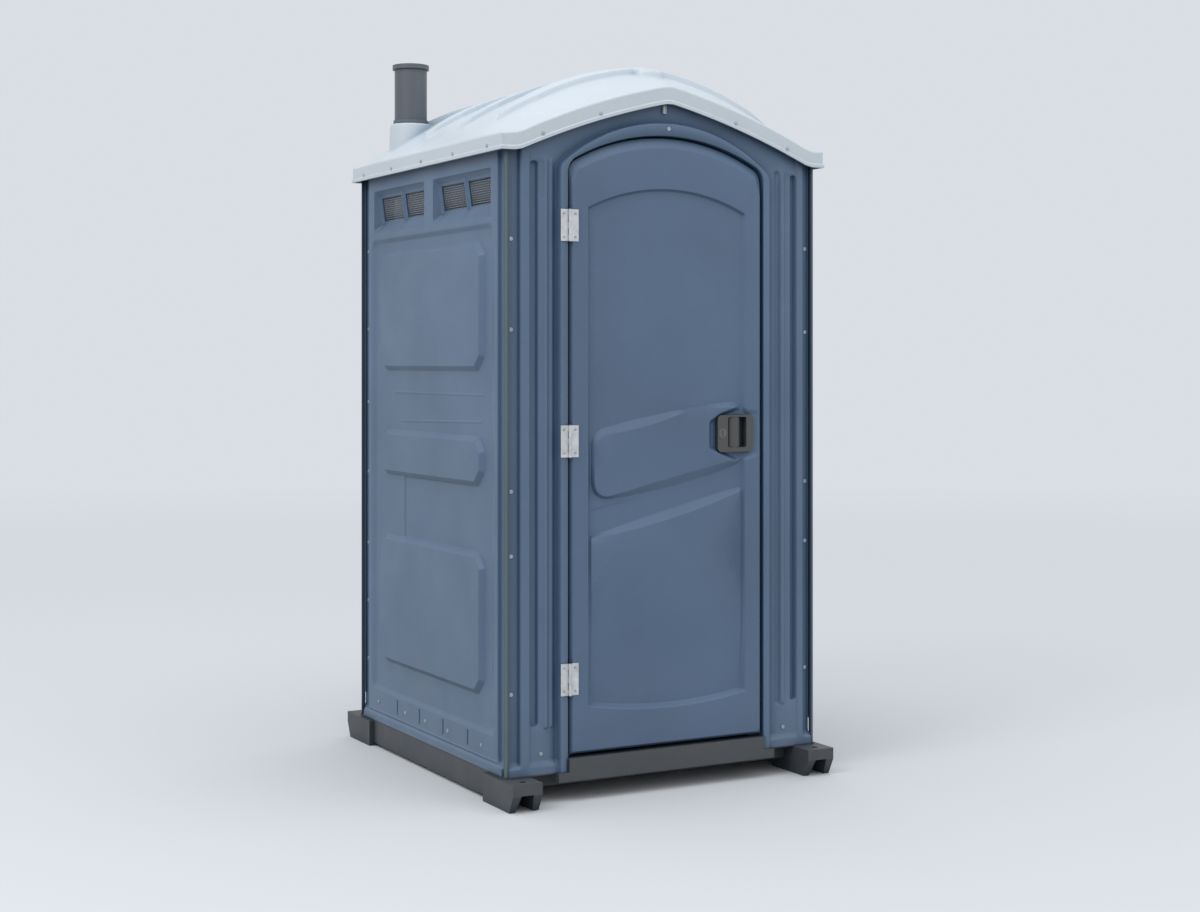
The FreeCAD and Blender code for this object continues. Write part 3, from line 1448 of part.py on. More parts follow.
def urinal():
    """Open basin against the right wall, with rounded front corners."""
    wall_x = face_x + level_field - sheet - fit_gap
    front_x = wall_x - urinal_depth
    high = urinal_bottom + urinal_height
    lip_z = urinal_bottom + urinal_lip_height
    y0, y1 = urinal_y - urinal_width / 2, urinal_y + urinal_width / 2
    body = polygon_face(urinal_section(0, y0)).extrude(V(0, y1 - y0, 0))
    upright = [e for e in body.Edges if e.Length < urinal_lip_height and e.BoundBox.YLength < reach_past
               and e.BoundBox.XMax < front_x + reach_past]
    body = body.makeFillet(urinal_corner, upright)
    inner_y = y0 + urinal_wall
    width = y1 - y0 - 2 * urinal_wall
    hollow = polygon_face(urinal_section(urinal_wall, inner_y)).extrude(V(0, width, 0))
    before, back = front_x - reach_past, wall_x - urinal_back
    rim_z = lip_z - urinal_rim_drop
    mouth = [V(before, inner_y, lip_z), V(back, inner_y, high + reach_past), V(back, inner_y, rim_z),
             V(before, inner_y, rim_z)]
    hollow = hollow.fuse(polygon_face(mouth).extrude(V(0, width, 0)))
    drain_start = V(drain_x(), urinal_y, urinal_bottom - 1)
    drain = cylinder(drain_radius - urinal_wall, 2 * urinal_wall, drain_start, Z_UP)
    return body.cut(hollow).cut(drain).removeSplitter()


def drain_x():
    """Distance of the urinal's drain from the cabin's middle."""
    return face_x + level_field - sheet - fit_gap - urinal_depth / 4


def urinal_drain():
    """Rigid drain pipe from the urinal down and back to the tank's front."""
    x = drain_x()
    end_z = drain_end_height
    points = [V(x, urinal_y, urinal_bottom - fit_gap), V(x, urinal_y, end_z + drain_bend),
              V(x, urinal_y + drain_bend, end_z), V(x, tank_front - fit_gap, end_z)]
    middle = V(x, urinal_y + drain_bend * (1 - math.sqrt(0.5)), end_z + drain_bend * (1 - math.sqrt(0.5)))
    path = Part.Wire([Part.makeLine(points[0], points[1]), Part.Arc(points[1], middle, points[2]).toShape(),
                      Part.makeLine(points[2], points[3])])
    outer = Part.Wire([Part.makeCircle(drain_radius, points[0], Z_UP)])
    inner = Part.Wire([Part.makeCircle(drain_radius - drain_wall, points[0], Z_UP)])
    return path.makePipeShell([outer], True, True).cut(path.makePipeShell([inner], True, True))


def paper_holder():
    """Two brackets and a rod on the left wall."""
    wall_x = -(face_x + level_field - sheet - fit_gap)
    plate = box(wall_x, paper_y - paper_width / 2, paper_z - paper_plate / 2, wall_x + paper_wall,
                paper_y + paper_width / 2, paper_z + paper_plate / 2)
    parts = [plate]
    for y in (paper_y - paper_width / 2, paper_y + paper_width / 2 - paper_wall):
        parts.append(box(wall_x, y, paper_z - paper_arm_height / 2, wall_x + paper_reach, y + paper_wall,
                         paper_z + paper_arm_height / 2))
    rod_start = V(wall_x + paper_reach - 2 * paper_rod_radius, paper_y - paper_width / 2, paper_z)
    parts.append(cylinder(paper_rod_radius, paper_width, rod_start, Y_BACK))
    return fused(parts)


def coat_hook():
    """Plain hook on the left wall's upper pad."""
    wall_x = -(face_x + level_pad - sheet - fit_gap)
    plate = box(wall_x, hook_y - hook_plate_width / 2, hook_z - hook_plate_height / 2,
                wall_x + hook_thickness, hook_y + hook_plate_width / 2, hook_z + hook_plate_height / 2)
    foot = hook_z - hook_width
    tip_x = wall_x + hook_reach
    tip_back = tip_x - hook_thickness
    outline = (
        (wall_x, foot), (tip_x, foot), (tip_x, foot + hook_tip_rise), (tip_back, foot + hook_tip_rise),
        (tip_back, foot + hook_thickness), (wall_x, foot + hook_thickness),
    )
    arm = polygon_face([V(x, hook_y - hook_width / 2, z) for x, z in outline]).extrude(V(0, hook_width, 0))
    return fused([plate, arm])


def floor_bolts():
    """Dome-headed bolts through the floor into the skids."""
    bolts = []
    for side in (-1, 1):
        for y in floor_bolt_places:
            x = side * floor_bolt_x
            head = cylinder(floor_bolt_head, floor_bolt_head_height, V(x, y, floor_top), Z_UP)
            shank = cylinder(floor_bolt_radius, floor_top - floor_bolt_end, V(x, y, floor_bolt_end), Z_UP)
            bolts.append(head.fuse(shank).removeSplitter())
    return Part.makeCompound(bolts)


def floor_bolt_holes(bottom, top):
    """Clearance holes for the floor bolts."""
    radius = floor_bolt_radius + fastener_play
    return Part.makeCompound([cylinder(radius, top - bottom, V(side * floor_bolt_x, y, bottom), Z_UP)
                              for side in (-1, 1) for y in floor_bolt_places])


# All pieces

def save_all():
    """Build every piece and write it under its own name."""
    left_skid = skid().cut(floor_bolt_holes(floor_bolt_end - fit_gap, skid_height + 1))
    save("skid_left", left_skid)
    save("skid_right", mirrored_x(left_skid))
    save("floor_pan", floor_pan().cut(floor_bolt_holes(floor_top - 2 * floor_thickness, floor_top + 1)))
    save("bearer_front", bearer(-bearer_offset))
    save("bearer_middle", bearer(0))
    save("bearer_rear", bearer(bearer_offset))
    save("floor_bolts", floor_bolts())
    wall = side_wall()
    save("left_wall", turned(wall, -90))
    save("right_wall", turned(wall, 90))
    save("rear_wall", turned(rear_wall(), 180))
    save("front_frame", front_frame())
    save("apex_clip", apex_clip())
    front_post = corner_post(front_channel_level)
    save("corner_post_front_left", front_post)
    save("corner_post_front_right", mirrored_x(front_post))
    rear_post = turned(corner_post(level_channel), 180)
    save("corner_post_rear_right", rear_post)
    save("corner_post_rear_left", mirrored_x(rear_post))
    for side, label in ((-1, "a"), (1, "b")):
        screen = vent_screen(side)
        save("vent_screen_left_" + label, turned(screen, -90))
        save("vent_screen_right_" + label, turned(screen, 90))
    side_group = rivet_group(side_rivets(), face_x)
    walls = (rivet_group(front_rivets(), face_y), turned(rivet_group(rear_rivets(), face_y), 180),
             turned(side_group, -90), turned(side_group, 90))
    save("wall_rivets", Part.makeCompound([solid for group in walls for solid in group.Solids]))
    save("roof", roof())
    save("roof_screws", roof_screws())
    save("vent_pipe", vent_pipe())
    save("vent_pipe_rim", pipe_rim())
    save("vent_pipe_boot", pipe_boot())
    save("door_outer_skin", door_outer_skin())
    save("door_inner_skin", door_inner_skin_panel())
    for centre, label in zip(hinge_centres, ("lower", "middle", "upper")):
        save("hinge_" + label + "_frame_leaf", hinge_leaf_body(centre, -1))
        save("hinge_" + label + "_door_leaf", hinge_leaf_body(centre, 1))
    save("hinge_pins", Part.makeCompound([hinge_pin(centre) for centre in hinge_centres]))
    save("frame_hinge_rivets", hinge_rivets(-1))
    save("door_hinge_rivets", hinge_rivets(1))
    save("latch_housing", latch_housing())
    save("latch_grip", latch_grip())
    save("latch_spindle", lock_spindle())
    save("latch_pinion", latch_pinion())
    save("latch_bolt", latch_bolt())
    save("latch_cover", latch_cover())
    save("latch_knob", latch_knob())
    save("strike_plate", strike_plate())
    save("tank", tank())
    save("tank_deck", tank_deck())
    save("toilet_seat", toilet_seat())
    save("toilet_lid", toilet_lid())
    save("lid_hinge_pins", lid_hinge_pins())
    save("urinal", urinal())
    save("urinal_drain", urinal_drain())
    save("paper_holder", paper_holder())
    save("coat_hook", coat_hook())


save_all()
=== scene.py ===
import json
import math

import bpy
import mathutils
import numpy as np
from mathutils.geometry import delaunay_2d_cdt
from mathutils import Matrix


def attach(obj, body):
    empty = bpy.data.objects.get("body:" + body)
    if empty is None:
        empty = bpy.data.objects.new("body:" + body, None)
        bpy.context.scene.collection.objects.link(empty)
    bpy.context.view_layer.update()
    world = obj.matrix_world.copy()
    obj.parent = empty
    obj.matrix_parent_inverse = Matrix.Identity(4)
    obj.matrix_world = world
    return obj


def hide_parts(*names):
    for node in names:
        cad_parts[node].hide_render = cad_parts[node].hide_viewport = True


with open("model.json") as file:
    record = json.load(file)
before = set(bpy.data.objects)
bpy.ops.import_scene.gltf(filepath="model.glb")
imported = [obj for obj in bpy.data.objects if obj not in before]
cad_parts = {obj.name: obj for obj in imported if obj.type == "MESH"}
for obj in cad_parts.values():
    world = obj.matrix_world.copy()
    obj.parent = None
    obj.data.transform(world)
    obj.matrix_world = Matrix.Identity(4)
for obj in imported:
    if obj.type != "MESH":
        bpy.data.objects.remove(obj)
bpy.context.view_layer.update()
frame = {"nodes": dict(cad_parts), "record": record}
NODES = frame["nodes"]

# Camera of the photograph, metres and degrees
CAMERA_PLACE = (-2.9526, -5.5739, 1.3197)
CAMERA_YAW = -28.57
CAMERA_LENS = 56.23
CAMERA_SENSOR = 36.0
CAMERA_SHIFT_Y = -0.0786

# Colours, linear
WHITE = (1.0, 1.0, 1.0)
WALL_BLUE = (0.090, 0.143, 0.224)
DOOR_BLUE = (0.079, 0.128, 0.208)
POST_BLUE = (0.050, 0.080, 0.106)
ROOF_WHITE = (0.495, 0.54, 0.585)
SKID_GREY = (0.048, 0.053, 0.060)
FLOOR_GREY = (0.066, 0.071, 0.076)
PIPE_GREY = (0.088, 0.099, 0.117)
BOOT_GREY = (0.12, 0.135, 0.15)
MESH_GREY = (0.44, 0.46, 0.49)
LATCH_GREY = (0.070, 0.070, 0.068)
TANK_GREY = (0.12, 0.14, 0.17)
SEAT_BLACK = (0.035, 0.036, 0.04)
URINAL_WHITE = (0.55, 0.57, 0.58)
HINGE_GREY = (0.73, 0.74, 0.74)
STEEL_GREY = (0.20, 0.20, 0.205)
RIVET_GREY = (0.46, 0.49, 0.53)
DUST = (0.34, 0.33, 0.31)
SKY = (0.93, 0.97, 1.0)
BACKDROP = (0.70, 0.73, 0.78)
GROUND = (0.30, 0.30, 0.30)
GROUND_SEEN = (0.56, 0.57, 0.59)

# Patterns on the surfaces: scale, detail, and the two stops between which each fades
CLOUDS = (2.3, 5.0, 0.35, 0.65)
SCUFFS = (34.0, 6.0, 0.60, 0.78)
DUST_PATCHES = (11.0, 6.0, 0.3, 0.7)
UNEVEN_GLOSS = (6.0, 4.0, 0.3, 0.7)
TARNISH = (45.0, 5.0, 0.35, 0.7)
SCRATCHES = (260.0, 3.0, 0.3, 0.7)

# How strongly the patterns show
MOTTLE = 0.07
SCUFF_SHARE = 0.22
SCUFF_GAIN = 1.25
SCUFF_LIFT = 0.015
DUST_HEIGHT = 0.45
DUST_LEAST = 0.25
TARNISH_GAIN = 0.78
PLASTIC_GLOSS = (-0.05, 0.07)
METAL_GLOSS = (-0.06, 0.1)

# Fine relief: scale, detail, strength, and depth in metres
FINE_GRAIN = (900.0, 2.0, 0.6, 0.00004)
COARSE_GRAIN = (500.0, 2.0, 0.6, 0.0001)
POLISHED_GRAIN = (900.0, 2.0, 0.6, 0.00001)
SCRATCH_GRAIN = (260.0, 3.0, 0.3, 0.00003)

# Painted shade in hollows: tints, and how each hollow is found: reach in metres, samples, and the stops of
# its fade
CREVICE_SHADE_TINT = (0.50, 0.60, 0.68)
CREVICE_SHADE_HOLLOW = (0.045, 8, 0.35, 0.92)
SHADE_TINT = (0.72, 0.80, 0.85)
SHADE_HOLLOW = (0.16, 6, 0.45, 0.85)

# Painted highlight along the posts' outside corners, metres: the cabin's extra depth on one side, and the
# highlight strip's edges and gain
POST_SQUARE_SHIFT = 0.031
POST_HIGHLIGHT_START = 0.5450
POST_HIGHLIGHT_END = 0.5485
POST_HIGHLIGHT_GAIN = (1.75, 1.55, 1.28)

# Plastics by slot: name, colour, roughness, and grain, dust near the ground and mottling where they differ
PLASTICS = {
    "blue_grey_plastic": ("wall_plastic", WALL_BLUE, 0.46, FINE_GRAIN, 0.08),
    "door_plastic": ("door_plastic", DOOR_BLUE, 0.44, FINE_GRAIN, 0.05),
    "post_plastic": ("post_plastic", POST_BLUE, 0.45, FINE_GRAIN, 0.05),
    "roof_plastic": ("roof_plastic", ROOF_WHITE, 0.38, FINE_GRAIN, 0.0, 0.02),
    "dark_plastic": ("skid_plastic", SKID_GREY, 0.55, COARSE_GRAIN, 0.10, 0.06),
    "floor_plastic": ("floor_plastic", FLOOR_GREY, 0.6, COARSE_GRAIN),
    "pipe_plastic": ("pipe_plastic", PIPE_GREY, 0.42),
    "tank_plastic": ("tank_plastic", TANK_GREY, 0.42),
    "latch_plastic": ("latch_plastic", LATCH_GREY, 0.42),
    "seat_plastic": ("seat_plastic", SEAT_BLACK, 0.22, POLISHED_GRAIN),
    "urinal_plastic": ("urinal_plastic", URINAL_WHITE, 0.35),
    "screen_mesh": ("screen_plastic", MESH_GREY, 0.6),
    "boot_rubber": ("boot_rubber", BOOT_GREY, 0.7),
}

# Metals by slot: name, colour and roughness
METALS = {
    "hinge_metal": ("hinge_steel", HINGE_GREY, 0.42),
    "bare_steel": ("plain_steel", STEEL_GREY, 0.38),
    "rivet_metal": ("rivet_aluminium", RIVET_GREY, 0.42),
}

# Relief sheets, millimetres
MM = 0.001
SHEET = 4.0
STEEPEST = 2.0
STEP_REACH = 60.0
SLOPE_PROBE = 0.25
MERGE_DISTANCE = 0.02
POINT_SPACING = 22.0
LOST_SHARE = 0.15
LOST_SLACK = 0.05
ROUND_STEPS = 7
CIRCLE_POINTS = 48
STRAIGHT_ANGLE = 0.02
TINY = 1e-12
ACROSS = 0
UP = 1
BEYOND_SIDE = 900
BEYOND_TOP = 2400

# Rounded edge of a sheet that closes against its back: thickness, and rows of points on each side of it
EDGE_THICKNESS = 4.0
EDGE_INSETS = (3.9, 4.1)

# Heights across the roof's lower edge and its crest: three points of an arc, then the far end
TABLE_END = 700.0
TABLE_STEP = 2.0
TABLE_ARC_POINTS = 40
GABLE_ARC = ((0, 2116), (250, 2048), (518, 1945))
GABLE_FAR = (700, 1945)
GABLE_SOFTNESS = 30
VAULT_ARC = ((0, 2236), (337, 2151), (574, 1997))
VAULT_FAR = (700, 1950)
VAULT_SOFTNESS = 12
GABLE_POINTS = 48
GABLE_OVERLAP = 37

# Walls and their levels, measured outwards from the cabin's face
WALL_BOTTOM = 90.0
WALL_TOP = 1992.7
WALL_END = 570.7
FRAME_END = 539.7
FLANGE_END = 559.9
FLANGE_TOP = 128
FLANGE = (-FLANGE_END, 0, FLANGE_END, FLANGE_TOP)
CHANNEL_END = 522.0
LEVEL_CHANNEL = -16.0
LEVEL_BORDER = -5.0
LEVEL_FIELD = -14.0
LEVEL_PAD = 1.0

# Rails along the walls' heads
SIDE_RAIL = (-FLANGE_END, 1950, FLANGE_END, 2300)
SIDE_RAIL_LEVEL = 17.2
GABLE_RAIL_LEVEL = 14.2
GABLE_RAIL_LIFT = 11
GABLE_RAIL_POINTS = 120

# Relief of the walls, from the wall's middle and from the ground
BORDER_FOOT = 118
FIELD = (-495, 195, 495, 1737)
SUNK_PANEL = (-222, 735, 325, 940)
SUNK_DEPTH = 3.0
CREASES = (
    [(-305, 1213), (402, 1213), (402, 1222), (-305, 1222)],
    [(-252, 1118), (391, 1131), (391, 1140), (-252, 1127)],
)
CREASE_RISE = 1.6
PAD_END = 411
PAD_CUT = 44
PAD_HEIGHTS = ((303, 737), (938, 1092), (1290, 1692))
GROOVE_PLACES = (-261.5, -73.5, 114.5, 302.5)
GROOVE_HALF = 5
GROOVE_HEIGHTS = (136, 187)
GROOVE_DEPTH = 8

# Vent windows
VENT_NEAR = 35.0
VENT_FAR = 470.0
VENT_BOTTOM = 1757.0
VENT_TOP = 1905.0
VENT_FLOOR_LOW = 1793.0
VENT_FLOOR_HIGH = 1889.0
VENT_FLOOR_INSETS = (17, 10)
VENT_DEEP = 31.0
VENT_SHALLOW = 18.0
VENT_SIDE_SLOPE = 0.55
VENT_BAR = 30.0
VENT_BAR_LAP = 4
VENT_BAR_OVER = (6, 3)
VENT_BAR_RISE = 9.0
VENT_EDGE = 1.6
VENT_RINGS = (0.97, 1.0, 1.02)
VENT_RING_SPACING = 20
VENT_CORNER_RUN = (0.06, 0.94, 6)
PANE_SIDE_MARGIN = 27
PANE_END_MARGIN = 8
PANE_CORNER = 5

# Wire screens
WIRE = 2.0
MESH_PITCH = 7.0
UPRIGHT_PITCH = 1.5
CROSSING_LIFT = 0.8
SCREEN_GAP = 1.6
SCREEN_OVER = (6, 5)

# Jamb relief of each side: ridge, flute and rib, measured from the cabin's middle, and the level by the ridge
JAMB_PROFILES = (
    (-1, 408.0, 441.0, 469.0, 502.0, -4.5),
    (1, 422.0, 464.0, 484.0, 512.0, -12.0),
)
JAMB_FLANGE_START = 365
RIDGE_HEIGHTS = (222, 1930)
RIDGE_WIDTH = 20
RIDGE_LAP = 2
FLUTE_LAP = 1
DISH_HEIGHTS = (214, 1925)
DISH_START = 16
DISH_LEVEL = -7
DISH_WIDTHS = ((214, 290, 1850, 1925), (26, 9, 9, 14))
FLUTE_HEIGHTS = (232, 1919)
FLUTE_LEVEL = -18

# Doorway: half width, foot, shoulder, crown and corner radius of each arched outline, and their levels
SHOULDER = 1888
SHOULDER_POINTS = 10
HEAD_POINTS = 20
BEAD = (380, 20, SHOULDER, 2060, 51)
BEAD_FAR_FOOT = -400
BEAD_LEVEL = 12
OPENING_HALF = 350
OPENING = (OPENING_HALF, 10, SHOULDER, 2016, 53)
OPENING_LEVEL = -29.5
SILL_TOP = 119.3
STOP = (316, SILL_TOP, SHOULDER, 1982, 45)
DOORWAY_BOTTOM = 60
HEAD_LEVEL = -14.0
HEAD_RISE = 10.0
HEAD_REACH = 48
HEAD_EASE = 0.5

# Door: outline, and the level and bevel of its edge, which change over the arched head
DOOR_EDGE = (342, 141, SHOULDER, 2008, 45)
DOOR_SKIN_DEPTH = -36.0
DOOR_HEAD_START = 1850
DOOR_HEAD_LENGTH = 62
DOOR_BASE = (-9.0, -5.0)
DOOR_EDGE_WIDTH = (8, 22)

# Door recess: two arcs, with its bevel and its level over the height
RECESS_ARCS = (((282, 1786), (0, 1852), (-282, 1786)), ((-282, 280), (0, 254), (282, 280)))
RECESS_WIDTHS = ((260, 330, 1700, 1790), (13, 11, 11, 7))
RECESS_LEVELS = ((262, 300, 480, 700, 1150, 1300), (-15, -15, -10, -13, -13, -9))
DOOR_ARC_POINTS = 24

# Lower area of the door: two arcs, its level over the height, and its bevel, which swells along the head
LOWER_ARCS = (((276, 928), (0, 862), (-276, 790)), ((-276, 303), (0, 278), (276, 303)))
LOWER_LEVELS = ((262, 300, 480, 700), (-15, -15, -5, -1.0))
LOWER_SIDE_WIDTH = 9
LOWER_HEAD_WIDTH = 4
LOWER_HEAD_SWELLS = ((20, 300, 24),)
LOWER_BLEND = (450, 250)

# Raised band of the door: two arcs, its middle line, and bevels that swell: place, reach and extra width
BAND_ARCS = (((-266, 897), (16, 934), (282, 1003)), ((282, 1199), (16, 1166), (-266, 1108)))
BAND_ARC_POINTS = 4
BAND_MIDDLE = 1030
BAND_TILT = 0.15
BAND_BLEND = 60
BAND_HEAD_WIDTH = 8
BAND_HEAD_SWELLS = ((-110, 170, 18), (230, 90, 8))
BAND_FOOT_WIDTH = 7
BAND_FOOT_SWELLS = ((60, 280, 21),)

# Soft fall at the band's hinge end, and how its bevel widens above a tilted line
TAIL = [(-279, 866), (-120, 897), (-100, 960), (-215, 990)]
TAIL_TILT = 0.19
TAIL_WIDTHS = ((918, 936), (7, 50))
TAIL_LEVEL = -6

# Latch pocket: outline and level across the door, and the hole that holds the latch's housing
POCKET = [
    (262, 1182), (191, 1160), (147, 1134), (147, 1047), (250, 1003), (284, 1009), (332, 1022), (332, 1166),
    (292, 1168),
]
POCKET_LEVELS = ((265, 300), (-14, -5))
HOUSING_HOLE = (177.7, 1035.7, 310.3, 1152.3)

# Roof
ROOF_X = 574.0
ROOF_Y = 602.0
ROOF_LEVEL_END = 440
ROOF_HIP_SOFTNESS = 0.3
FASCIA = 52.0
LIP_ROWS = ((0, 14), (1.2, 11.5), (3.5, 9.5), (3.5, 1.2), (2.5, 0))
RIM_RADIUS = 7.0
RIM_INSETS = (0.15, 0.6, 1.5, 3.0, *EDGE_INSETS, RIM_RADIUS, 40.0, 80.0, 120.0, 162.0)
RIM_TOUCH = 0.1
RIB_HEIGHT = 18.0
RIB_PLACES = (-420, -140, 140, 420)
RIB_OUTLINE = (
    (-512, 0), (-470, -20), (-380, -40), (380, -40), (470, -20), (512, 0), (470, 20), (380, 40), (-380, 40),
    (-470, 20),
)
SPINE = (-48, -500, 48, 500)
ROOF_GRID = ((-560, 560, 57), (-595, 595, 35))

# Boss of the vent pipe
PIPE_PLACE = (-455.0, 366.0)
BOSS_RADIUS = 73
BOSS_TOP = 2128
PIPE_HOLE_RADIUS = 56
PIPE_CLEARANCE = 80

# Sheet frames: across, up, outwards, and a point on the sheet's zero level
FACE_X = 552.5
FACE_Y = 583.5
DOOR_FACE_Y = 595.5
LEFT = ((0, -1, 0), (0, 0, 1), (-1, 0, 0), (-FACE_X, 0, 0))
RIGHT = ((0, 1, 0), (0, 0, 1), (1, 0, 0), (FACE_X, 0, 0))
REAR = ((-1, 0, 0), (0, 0, 1), (0, 1, 0), (0, FACE_Y, 0))
FRONT = ((1, 0, 0), (0, 0, 1), (0, -1, 0), (0, -FACE_Y, 0))
DOOR_PLANE = ((1, 0, 0), (0, 0, 1), (0, -1, 0), (0, -DOOR_FACE_Y, 0))
ROOF_PLANE = ((1, 0, 0), (0, 1, 0), (0, 0, 1), (0, 0, 0))

# Rounding of the solids' sharp edges, metres and degrees
BODY_EDGE = 0.0015
LATCH_EDGE = 0.0006
EDGE_SEGMENTS = 2
EDGE_ANGLE = 35

# Light: each lamp has a place, a size and a power, and looks at one point
SKY_STRENGTH = 1.15
LAMP_AIM = (0, 0, 1.1)
LAMPS = (
    ("key", (-6.0, -2.0, 6.0), 3.5, 160.0),
    ("overhead", (-0.5, -2.0, 6.0), 5.0, 60.0),
    ("fill", (4.5, -6.0, 5.0), 4.0, 40.0),
)

# Floor, metres: its size and place, its roughness, and where it fades into the backdrop
FLOOR_SIZE = 60
FLOOR_Z = -0.0005
FLOOR_ROUGHNESS = 0.9
FADE_START = 2.5
FADE_END = 14.0


# Materials

def new_material(name):
    """Empty node material with its tree and shader."""
    material = bpy.data.materials.new(name)
    material.use_nodes = True
    return material, material.node_tree, material.node_tree.nodes["Principled BSDF"]


def add(tree, kind, **sockets):
    """Shader node of a kind with some of its inputs set."""
    node = tree.nodes.new("ShaderNode" + kind)
    for key, value in sockets.items():
        node.inputs[key].default_value = value
    return node


def feed(tree, socket, value):
    """Give an input what another node puts out, a plain colour or a number."""
    if isinstance(value, bpy.types.NodeSocket):
        tree.links.new(value, socket)
    elif isinstance(value, tuple):
        socket.default_value = (*value, 1)
    else:
        socket.default_value = value


def calculate(tree, operation, first, second):
    """Result of an operation on two values."""
    node = add(tree, "Math")
    node.operation = operation
    feed(tree, node.inputs[0], first)
    feed(tree, node.inputs[1], second)
    return node.outputs[0]


def mix_colour(tree, factor, first, second, blend="MIX"):
    """Mix or product of two colours."""
    node = add(tree, "Mix")
    node.data_type = "RGBA"
    node.blend_type = blend
    feed(tree, node.inputs["Factor"], factor)
    sockets = [s for s in node.inputs if s.type == "RGBA"]
    feed(tree, sockets[0], first)
    feed(tree, sockets[1], second)
    return [s for s in node.outputs if s.type == "RGBA"][0]


def object_noise(tree, scale, detail):
    """Noise over the object's own coordinates."""
    noise = add(tree, "TexNoise", Scale=scale, Detail=detail)
    tree.links.new(add(tree, "TexCoord").outputs["Object"], noise.inputs["Vector"])
    return noise.outputs["Fac"]


def ramp(tree, source, low, high, low_value, high_value):
    """Value that follows a source between two stops."""
    node = add(tree, "MapRange", **{
        "From Min": low, "From Max": high, "To Min": low_value, "To Max": high_value,
    })
    tree.links.new(source, node.inputs["Value"])
    return node.outputs["Result"]


def patches(tree, pattern, low_value=0.0, high_value=1.0):
    """Value that follows one of the surface patterns."""
    scale, detail, low, high = pattern
    return ramp(tree, object_noise(tree, scale, detail), low, high, low_value, high_value)


def openness(tree, hollow):
    """Value that falls from 1 on open surfaces to 0 in hollows."""
    reach, samples, low, high = hollow
    node = add(tree, "AmbientOcclusion", Distance=reach)
    node.samples = samples
    return ramp(tree, node.outputs["AO"], low, high, 0.0, 1.0)


def dust_share(tree, most):
    """Share of dust: patchy, and less with height."""
    split = add(tree, "SeparateXYZ")
    tree.links.new(add(tree, "TexCoord").outputs["Object"], split.inputs["Vector"])
    height = ramp(tree, split.outputs["Z"], 0.0, DUST_HEIGHT, most, 0.0)
    return calculate(tree, "MULTIPLY", height, patches(tree, DUST_PATCHES, DUST_LEAST, 1.0))


def uneven_gloss(tree, shader, pattern, roughness, spread):
    """Roughness that varies a little over the surface."""
    low, high = spread
    value = patches(tree, pattern, roughness + low, roughness + high)
    tree.links.new(value, shader.inputs["Roughness"])


def fine_relief(tree, shader, grain):
    """Grain or scratches too fine to be modelled."""
    scale, detail, strength, depth = grain
    bump = add(tree, "Bump", Strength=strength, Distance=depth)
    tree.links.new(object_noise(tree, scale, detail), bump.inputs["Height"])
    tree.links.new(bump.outputs["Normal"], shader.inputs["Normal"])


def moulded_plastic(name, colour, roughness, grain=FINE_GRAIN, dust=0.0, mottle=MOTTLE):
    """Moulded plastic: slight mottling, scuffs, dust towards the ground, and painted shade in hollows."""
    material, tree, shader = new_material(name)
    light = tuple(c * (1 + mottle) for c in colour)
    dark = tuple(c * (1 - mottle) for c in colour)
    body = mix_colour(tree, patches(tree, CLOUDS), dark, light)
    scuffed = tuple(min(1.0, c * SCUFF_GAIN + SCUFF_LIFT) for c in colour)
    body = mix_colour(tree, patches(tree, SCUFFS, 0.0, SCUFF_SHARE), body, scuffed)
    if dust:
        body = mix_colour(tree, dust_share(tree, dust), body, DUST)
    # Painted shade: colour darkened in creases and grooves, then tinted in wider hollows such as under the
    # eaves
    crevice_shade = tuple(c * share for c, share in zip(colour, CREVICE_SHADE_TINT))
    body = mix_colour(tree, openness(tree, CREVICE_SHADE_HOLLOW), crevice_shade, body)
    tint = mix_colour(tree, openness(tree, SHADE_HOLLOW), SHADE_TINT, WHITE)
    body = mix_colour(tree, 1.0, body, tint, "MULTIPLY")
    tree.links.new(body, shader.inputs["Base Color"])
    uneven_gloss(tree, shader, UNEVEN_GLOSS, roughness, PLASTIC_GLOSS)
    fine_relief(tree, shader, grain)
    return material


def paint_corner_highlight(material):
    """Painted highlight: paler strip along the outside corner of the posts."""
    tree = material.node_tree
    base = tree.nodes["Principled BSDF"].inputs["Base Color"]
    body = base.links[0].from_socket
    size = add(tree, "VectorMath")
    size.operation = "ABSOLUTE"
    tree.links.new(add(tree, "TexCoord").outputs["Object"], size.inputs[0])
    split = add(tree, "SeparateXYZ")
    tree.links.new(size.outputs["Vector"], split.inputs["Vector"])
    shifted = calculate(tree, "SUBTRACT", split.outputs["Y"], POST_SQUARE_SHIFT)
    nearest = calculate(tree, "MINIMUM", split.outputs["X"], shifted)
    share = ramp(tree, nearest, POST_HIGHLIGHT_START, POST_HIGHLIGHT_END, 0.0, 1.0)
    gain = mix_colour(tree, share, WHITE, POST_HIGHLIGHT_GAIN)
    tree.links.new(mix_colour(tree, 1.0, body, gain, "MULTIPLY"), base)


def metal(name, colour, roughness):
    """Worked metal with fine scratches and slightly uneven gloss."""
    material, tree, shader = new_material(name)
    shader.inputs["Metallic"].default_value = 1.0
    dull = tuple(c * TARNISH_GAIN for c in colour)
    tree.links.new(mix_colour(tree, patches(tree, TARNISH), colour, dull), shader.inputs["Base Color"])
    uneven_gloss(tree, shader, SCRATCHES, roughness, METAL_GLOSS)
    fine_relief(tree, shader, SCRATCH_GRAIN)
    return material


MATERIAL_OF_SLOT = {slot: moulded_plastic(*row) for slot, row in PLASTICS.items()}
MATERIAL_OF_SLOT.update({slot: metal(*row) for slot, row in METALS.items()})
# Painted highlight: the posts get a paler strip along their outside corners
paint_corner_highlight(MATERIAL_OF_SLOT["post_plastic"])


# Relief sheets: a height over a flat outline, closed at the back

